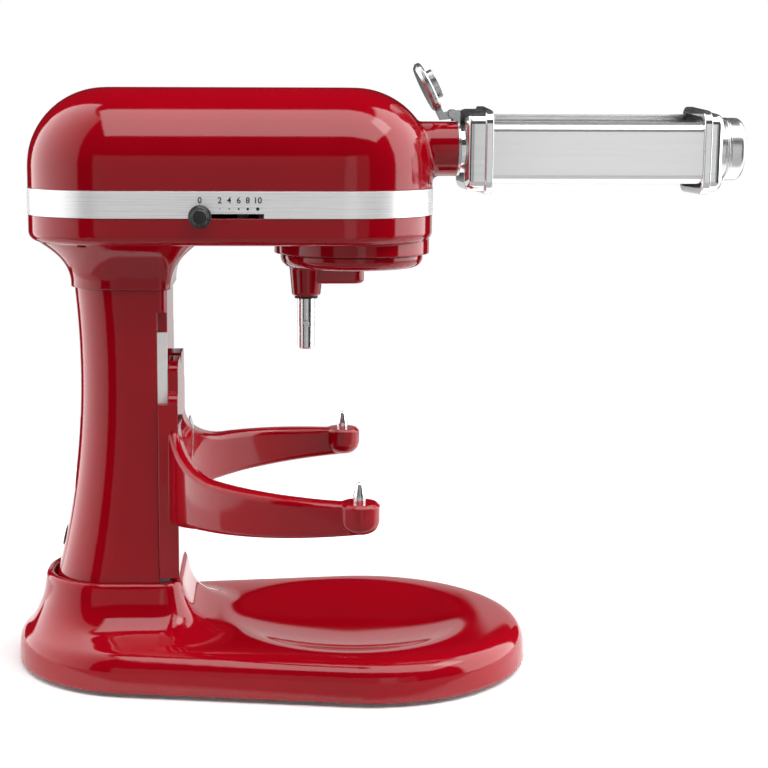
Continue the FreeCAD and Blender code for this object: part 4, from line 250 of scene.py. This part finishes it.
# one finish for each material slot of the frame
finishes = {
    "red_enamel": redEnamel(),
    "satin_band": metalFinish("satinBand", low=(0.94, 0.94, 0.95), high=(0.98, 0.98, 0.99),
                              rough=(0.24, 0.34), along=(9.0, 9.0, 5200.0), Metallic=0.35),
    "chrome_trim": metalFinish("satinChrome", low=(0.52, 0.53, 0.54), high=(0.6, 0.61, 0.62),
                               rough=(0.16, 0.26), along=(120.0, 900.0, 900.0), depth=0.000004,
                               Metallic=0.85),
    "roller_casing": metalFinish("rollerCasing", low=(0.8, 0.805, 0.81), high=(0.86, 0.865, 0.87),
                                 rough=(0.05, 0.09), along=(12.0, 1500.0, 2600.0), depth=0.000004,
                                 Metallic=0.9),
    "roller_steel": metalFinish("rollerSteel", low=(0.55, 0.55, 0.56), high=(0.66, 0.66, 0.67),
                                rough=(0.14, 0.24), along=(3200.0, 60.0, 60.0), depth=0.00001),
    "bright_steel": metalFinish("brightSteel", low=(0.8, 0.8, 0.81), high=(0.88, 0.88, 0.89),
                                rough=(0.14, 0.24), along=(300.0, 300.0, 3600.0), depth=0.00001),
    "machine_steel": metalFinish("machinedSteel", low=(0.36, 0.36, 0.37), high=(0.5, 0.5, 0.51),
                                 rough=(0.24, 0.38), along=(1800.0, 1800.0, 300.0)),
    "pale_nylon": speckledFinish("paleNylon", low=(0.78, 0.78, 0.76), high=(0.86, 0.86, 0.84),
                                 rough=(0.42, 0.55), grain=900.0, depth=0.00004),
    "bronze": metalFinish("sinteredBronze", low=(0.42, 0.27, 0.11), high=(0.56, 0.37, 0.17),
                          rough=(0.34, 0.5), along=(1400.0, 1400.0, 1400.0)),
    "copper": metalFinish("copperBars", low=(0.52, 0.24, 0.13), high=(0.66, 0.33, 0.19),
                          rough=(0.28, 0.4), along=(2400.0, 90.0, 90.0)),
    "laminated_iron": metalFinish("laminatedIron", low=(0.15, 0.15, 0.16), high=(0.27, 0.27, 0.28),
                                  rough=(0.4, 0.6), along=(2600.0, 20.0, 20.0), depth=0.0001),
    "cast_alloy": speckledFinish("castAlloy", low=(0.47, 0.47, 0.48), high=(0.58, 0.58, 0.59),
                                 rough=(0.42, 0.6), grain=1100.0, depth=0.00012, Metallic=1.0),
    "black_plastic": speckledFinish("blackPlastic", low=(0.012, 0.012, 0.013), high=(0.02, 0.02, 0.021),
                                    rough=(0.2, 0.3), grain=1400.0, depth=0.00003),
    "black_rubber": speckledFinish("blackRubber", low=(0.016, 0.016, 0.016), high=(0.03, 0.03, 0.03),
                                   rough=(0.55, 0.75), grain=1200.0, depth=0.00008),
    "base_plate": metalFinish("basePlate", low=(0.42, 0.42, 0.43), high=(0.52, 0.52, 0.53),
                              rough=(0.38, 0.55), along=(700.0, 700.0, 60.0)),
}
# the roller's long plates and its knob have finishes of their own
satinSheet = metalFinish("satinSheet", low=(0.96, 0.965, 0.97), high=(0.985, 0.985, 0.99),
                         rough=(0.14, 0.2), along=(9.0, 900.0, 1800.0), depth=0.000005, Metallic=0.75)
satinKnob = metalFinish("satinKnob", low=(0.78, 0.785, 0.79), high=(0.86, 0.865, 0.87),
                        rough=(0.2, 0.28), along=(900.0, 60.0, 60.0), depth=0.000004, Metallic=0.9)
special = {"roller_front_cover": satinSheet, "roller_back_cover": satinSheet, "gap_knob": satinKnob}
for part in frame["record"]["subparts"]:
    mesh = nodes[part["node"]].data
    mesh.materials.clear()
    mesh.materials.append(special.get(part["node"], finishes[part["material_slot"]]))
print("finishes on", len(finishes), "slots")


def addPiece(name, mesh, body, slot):
    piece = bpy.data.objects.new(name, mesh)
    scene.collection.objects.link(piece)
    mesh.materials.append(finishes[slot])
    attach(piece, body)
    return piece


# base casting: the frame's base with its creases flowed together, its dish hollowed to a shallow bowl and the
# flanks of its hump drawn in. Facing is how far up a surface has to look to be changed, and flow gives how
# freely the surface flows at each height
casting = {"voxel": 0.0022, "rounds": 40, "strength": 0.5,
           "dishMiddle": (-0.018, 0.0), "dishRadius": 0.086, "dishTop": 0.031, "dishDepth": 0.0098,
           "dishPower": 2.5, "dishFacing": 0.3, "dishHeights": (0.015, 0.034),
           "hump": (0.033, 0.066), "humpFacing": 0.15, "drawn": 0.0055, "drawnFrom": (-0.25, -0.2),
           "flow": ((0.004, 0.0), (0.012, 0.4), (0.028, 0.7), (0.034, 1.0), (0.056, 1.0), (0.067, 0.08))}


# makes the modifiers' result the piece's own mesh
def settle(piece):
    mesh = bpy.data.meshes.new_from_object(piece.evaluated_get(bpy.context.evaluated_depsgraph_get()))
    piece.modifiers.clear()
    piece.data = mesh
    return mesh


def alongStops(stops, place):
    for (first, low), (last, high) in zip(stops, stops[1:]):
        if first <= place < last:
            return low + (high - low) * (place - first) / (last - first)
    return stops[0][1] if place < stops[0][0] else stops[-1][1]


def hollowDish(vertex, place):
    low, high = casting["dishHeights"]
    away = (place.xy - Vector(casting["dishMiddle"])).length / casting["dishRadius"]
    if away < 1 and vertex.normal.z > casting["dishFacing"] and low < place.z < high:
        vertex.co.z = casting["dishTop"] - casting["dishDepth"] * (1 - away ** casting["dishPower"])


def drawInHump(vertex, place):
    low, high = casting["hump"]
    first, last = casting["drawnFrom"]
    if low < place.z < high and vertex.normal.z > casting["humpFacing"]:
        share = min(max((place.x - first) / (last - first), 0.0), 1.0)
        vertex.co.z -= share * casting["drawn"] * math.sin(math.pi * (place.z - low) / (high - low))


def baseCasting():
    piece = bpy.data.objects.new("baseCasting", nodes["base"].data.copy())
    scene.collection.objects.link(piece)
    even = piece.modifiers.new("even", "REMESH")
    even.mode = "VOXEL"
    even.voxel_size = casting["voxel"]
    mesh = settle(piece)
    group = piece.vertex_groups.new(name="flow")
    for vertex in mesh.vertices:
        place = vertex.co.copy()
        hollowDish(vertex, place)
        drawInHump(vertex, place)
        group.add([vertex.index], alongStops(casting["flow"], vertex.co.z), "REPLACE")
    flow = piece.modifiers.new("flow", "SMOOTH")
    flow.factor = casting["strength"]
    flow.iterations = casting["rounds"]
    flow.vertex_group = "flow"
    mesh = settle(piece)
    piece.vertex_groups.clear()
    mesh.shade_smooth()
    mesh.materials.clear()
    mesh.materials.append(finishes["red_enamel"])
    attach(piece, "stand")
    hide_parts("base")


baseCasting()
print("base casting done")

# dial: raised numbers and growing dots along the band above the lever's slot. Each mark has its number, its
# place along the band and the radius of its dot
dial = {"face": -0.0664, "numberHeight": 0.3402, "numberSize": 0.0058, "bolder": 0.00008, "proud": 0.00012,
        "dotHeight": 0.3346, "dotSides": 24, "dotTaper": 0.94,
        "marks": (("0", -0.1239, 0.0), ("2", -0.1104, 0.00035), ("4", -0.104, 0.0005),
                  ("6", -0.0976, 0.0007), ("8", -0.0915, 0.0009), ("10", -0.0848, 0.0012))}


def onBand(x, height):
    return Matrix.Translation((x, dial["face"], height)) @ Matrix.Rotation(math.pi / 2, 4, "X")


def dialNumber(text):
    curve = bpy.data.curves.new("dialNumber", "FONT")
    curve.body = text
    curve.size = dial["numberSize"]
    curve.align_x = "CENTER"
    curve.align_y = "CENTER"
    curve.extrude = dial["proud"]
    curve.offset = dial["bolder"]
    letters = bpy.data.objects.new("dialNumber", curve)
    solid = bpy.data.meshes.new_from_object(letters)
    bpy.data.objects.remove(letters)
    return solid


def dialMarks():
    marks = bmesh.new()
    for text, x, dot in dial["marks"]:
        number = dialNumber(text)
        number.transform(onBand(x, dial["numberHeight"]))
        marks.from_mesh(number)
        bpy.data.meshes.remove(number)
        if dot:
            bmesh.ops.create_cone(marks, cap_ends=True, segments=dial["dotSides"], radius1=dot,
                                  radius2=dot * dial["dotTaper"], depth=dial["proud"] * 2,
                                  matrix=onBand(x, dial["dotHeight"]))
    mesh = bpy.data.meshes.new("dialMarks")
    marks.to_mesh(mesh)
    marks.free()
    addPiece("dialMarks", mesh, "stand", "black_plastic")


dialMarks()
print("dial marks done")


# turned pieces: a profile of (radius, distance along the axis) swept round a line through start
def turned(name, profile, start, axis, body, slot, sides=64):
    ring = Vector(axis).normalized()
    side = ring.orthogonal().normalized()
    over = ring.cross(side)
    made = bmesh.new()
    loops = []
    for radius, along in profile:
        middle = Vector(start) + ring * along
        if radius == 0:
            loops.append([made.verts.new(middle)])
            continue
        turns = [2 * math.pi * n / sides for n in range(sides)]
        loops.append([made.verts.new(middle + (side * math.cos(turn) + over * math.sin(turn)) * radius)
                      for turn in turns])
    for low, high in zip(loops, loops[1:]):
        for n in range(sides):
            following = n + 1
            corners = [low[n % len(low)], low[following % len(low)],
                       high[following % len(high)], high[n % len(high)]]
            made.faces.new(list(dict.fromkeys(corners)))  # a loop of one point leaves a triangle
    bmesh.ops.recalc_face_normals(made, faces=made.faces)
    mesh = bpy.data.meshes.new(name)
    made.to_mesh(mesh)
    made.free()
    mesh.shade_smooth()
    return addPiece(name, mesh, body, slot)


# points of a round stretch, from the first to the last angle in degrees
def bend(middle, radius, first, last, steps=8):
    turns = [math.radians(first + (last - first) * n / steps) for n in range(steps + 1)]
    return [(middle[0] + radius * math.cos(turn), middle[1] + radius * math.sin(turn)) for turn in turns]


# speed knob: a wide skirt by the band and a smaller domed button in front, in glossy black
knob = {"skirt": 0.0079, "skirtDepth": 0.0042, "backRound": 0.0008, "skirtRound": 0.0012, "skirtTurn": 75,
        "neckFoot": (0.0006, 0.0004), "neckTop": 0.0011,
        "button": 0.0056, "reach": 0.0092, "buttonRound": 0.0021, "buttonTurn": 84,
        "crownShare": 0.3, "crownRise": 0.0001, "peakRise": 0.00014}


def speedKnob():
    low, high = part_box("speed_knob")
    start = ((low[0] + high[0]) / 2, high[1], (low[2] + high[2]) / 2)
    skirt, deep, button, reach = knob["skirt"], knob["skirtDepth"], knob["button"], knob["reach"]
    back, rim, dome = knob["backRound"], knob["skirtRound"], knob["buttonRound"]
    footOut, footUp = knob["neckFoot"]
    profile = [(0.0, 0.0), (skirt - rim, 0.0)]
    profile += bend((skirt - back, back), back, -90, 0)
    profile += bend((skirt - rim, deep - rim), rim, 0, knob["skirtTurn"])
    profile += [(button + footOut, deep + footUp), (button, deep + knob["neckTop"])]
    profile += bend((button - dome, reach - dome), dome, 0, knob["buttonTurn"])
    profile += [(button * knob["crownShare"], reach + knob["crownRise"]), (0.0, reach + knob["peakRise"])]
    piece = turned("speedKnobCap", profile, start, (0, -1, 0), "speed_control", "black_plastic")
    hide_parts("speed_knob")


speedKnob()
print("speed knob done")

# studio: softboxes and cards as bright fields of the surround. Each has its bearing from the camera's side,
# to the right as plus, its height above the horizon, both in degrees, and its brightness at the two bearings.
# The overhead softbox is a rectangle in a level plane one unit up, so its edges run straight along the head
studio = {"fields": (("rightSoftbox", (70, 130), (-10, 60), (3.3, 3.5)),
                     ("leftSoftbox", (-136, -49), (-20, 70), (3.2, 0.8)),
                     ("leftFloor", (-136, -49), (-60, -20), (1.9, 0.6)),
                     ("rightFloor", (70, 130), (-50, -10), (1.1, 1.4)),
                     ("frontCard", (-29, 34), (-75, 18), (0.42, 0.26)),
                     ("whiteCard", (6.5, 18), (-60, 18), (0.45, 0.45))),
          "overhead": {"across": (-0.3, 1.1), "forward": (-0.04, 0.93), "level": 3.5, "soft": 0.03,
                       "leastRise": 0.05, "fade": (0.1, 0.2)},
          "dim": 0.015, "soft": 1.6}


# one for rays that come from the camera, straight or through something clear
def plainRays(tree, path):
    return workOut(tree, "MAXIMUM", path.outputs["Is Camera Ray"], path.outputs["Is Transmission Ray"])


def studioSurround():
    surround = bpy.data.worlds.new("studioSurround")
    scene.world = surround
    surround.use_nodes = True
    tree = surround.node_tree
    axes = axesOf(tree, makeNode(tree, "ShaderNodeTexCoord").outputs["Generated"])
    toCamera = workOut(tree, "MULTIPLY", axes["Y"], -1.0)
    degrees = math.degrees(1.0)
    bearing = workOut(tree, "MULTIPLY", workOut(tree, "ARCTAN2", axes["X"], toCamera), degrees)
    height = workOut(tree, "MULTIPLY", workOut(tree, "ARCSINE", axes["Z"]), degrees)
    total, soft = studio["dim"], studio["soft"]
    for name, across, up, levels in studio["fields"]:
        shape = workOut(tree, "MULTIPLY", within(tree, bearing, across, soft), within(tree, height, up, soft))
        level = ease(tree, bearing, across, levels, "LINEAR")
        total = workOut(tree, "ADD", workOut(tree, "MULTIPLY", shape, level), total)
        total.node.label = name
    box = studio["overhead"]
    rise = workOut(tree, "MAXIMUM", axes["Z"], box["leastRise"])
    shape = ease(tree, axes["Z"], box["fade"])
    for value, span in ((axes["X"], box["across"]), (toCamera, box["forward"])):
        inside = within(tree, workOut(tree, "DIVIDE", value, rise), span, box["soft"])
        shape = workOut(tree, "MULTIPLY", shape, inside)
    total = workOut(tree, "ADD", workOut(tree, "MULTIPLY", shape, box["level"]), total)
    plain = plainRays(tree, makeNode(tree, "ShaderNodeLightPath"))
    lit = workOut(tree, "MULTIPLY", total, workOut(tree, "SUBTRACT", 1.0, plain))
    back = tree.nodes["Background"]
    back.inputs["Color"].default_value = (1, 1, 1, 1)
    join(tree, workOut(tree, "ADD", lit, plain), back.inputs["Strength"])


studioSurround()

# floor: pale paper under the object and a greyer table in front. Its glow lifts both to white for the camera
# where nothing shades them
paper = {"pale": 0.95, "grey": 0.34, "frontEdge": (-0.15, -0.125), "glow": (0.68, 0.03), "reach": 0.66,
         "cells": 8}


def paperFloor():
    grid = bmesh.new()
    bmesh.ops.create_grid(grid, x_segments=paper["cells"], y_segments=paper["cells"], size=paper["reach"])
    mesh = bpy.data.meshes.new("paperFloor")
    grid.to_mesh(mesh)
    grid.free()
    floor = bpy.data.objects.new("paperFloor", mesh)
    scene.collection.objects.link(floor)
    finish, tree, shader = newFinish("whitePaper", Roughness=0.9, Specular_IOR_Level=0.0,
                                     Emission_Color=(1, 1, 1, 1))
    axes = axesOf(tree, makeNode(tree, "ShaderNodeNewGeometry").outputs["Position"])
    near = ease(tree, axes["Y"], paper["frontEdge"])
    grey, pale = (paper["grey"],) * 3, (paper["pale"],) * 3
    blendColours(tree, near, grey, pale, shader.inputs["Base Color"], span=(0.0, 1.0))
    glow = ease(tree, near, (0.0, 1.0), paper["glow"], "LINEAR")
    path = makeNode(tree, "ShaderNodeLightPath")
    mirrored = workOut(tree, "MULTIPLY", path.outputs["Is Glossy Ray"], near)
    seen = workOut(tree, "MAXIMUM", plainRays(tree, path), mirrored)
    join(tree, workOut(tree, "MULTIPLY", glow, seen), shader.inputs["Emission Strength"])
    mesh.materials.append(finish)


paperFloor()

# rear card: a pale sweep behind the object that only reflections show, a little taller at its sides
sweep = {"behind": 1.0, "reach": 0.62, "top": 0.311, "sideTop": 0.38, "middle": (-0.19, 0.21), "edge": 0.03,
         "soft": 0.014, "level": 0.65}


def rearCard():
    reach, behind, soft = sweep["reach"], sweep["behind"], sweep["soft"]
    tall = sweep["sideTop"] + soft
    corners = [(-reach, behind, 0), (reach, behind, 0), (reach, behind, tall), (-reach, behind, tall)]
    mesh = bpy.data.meshes.new("rearCard")
    mesh.from_pydata(corners, [], [(0, 1, 2, 3)])
    card = bpy.data.objects.new("rearCard", mesh)
    scene.collection.objects.link(card)
    finish, tree, shader = newFinish("rearCard", Base_Color=(0, 0, 0, 1), Specular_IOR_Level=0.0,
                                     Emission_Color=(1, 1, 1, 1))
    axes = axesOf(tree, makeNode(tree, "ShaderNodeNewGeometry").outputs["Position"])
    inside = within(tree, axes["X"], sweep["middle"], sweep["edge"])
    top = ease(tree, inside, (0.0, 1.0), (sweep["sideTop"], sweep["top"]), "LINEAR")
    above = workOut(tree, "SUBTRACT", axes["Z"], top)
    level = ease(tree, above, (-soft, soft), (sweep["level"], 0.0), "LINEAR")
    join(tree, level, shader.inputs["Emission Strength"])
    path = makeNode(tree, "ShaderNodeLightPath")
    join(tree, path.outputs["Is Glossy Ray"], shader.inputs["Alpha"])
    mesh.materials.append(finish)


rearCard()
print("studio done")
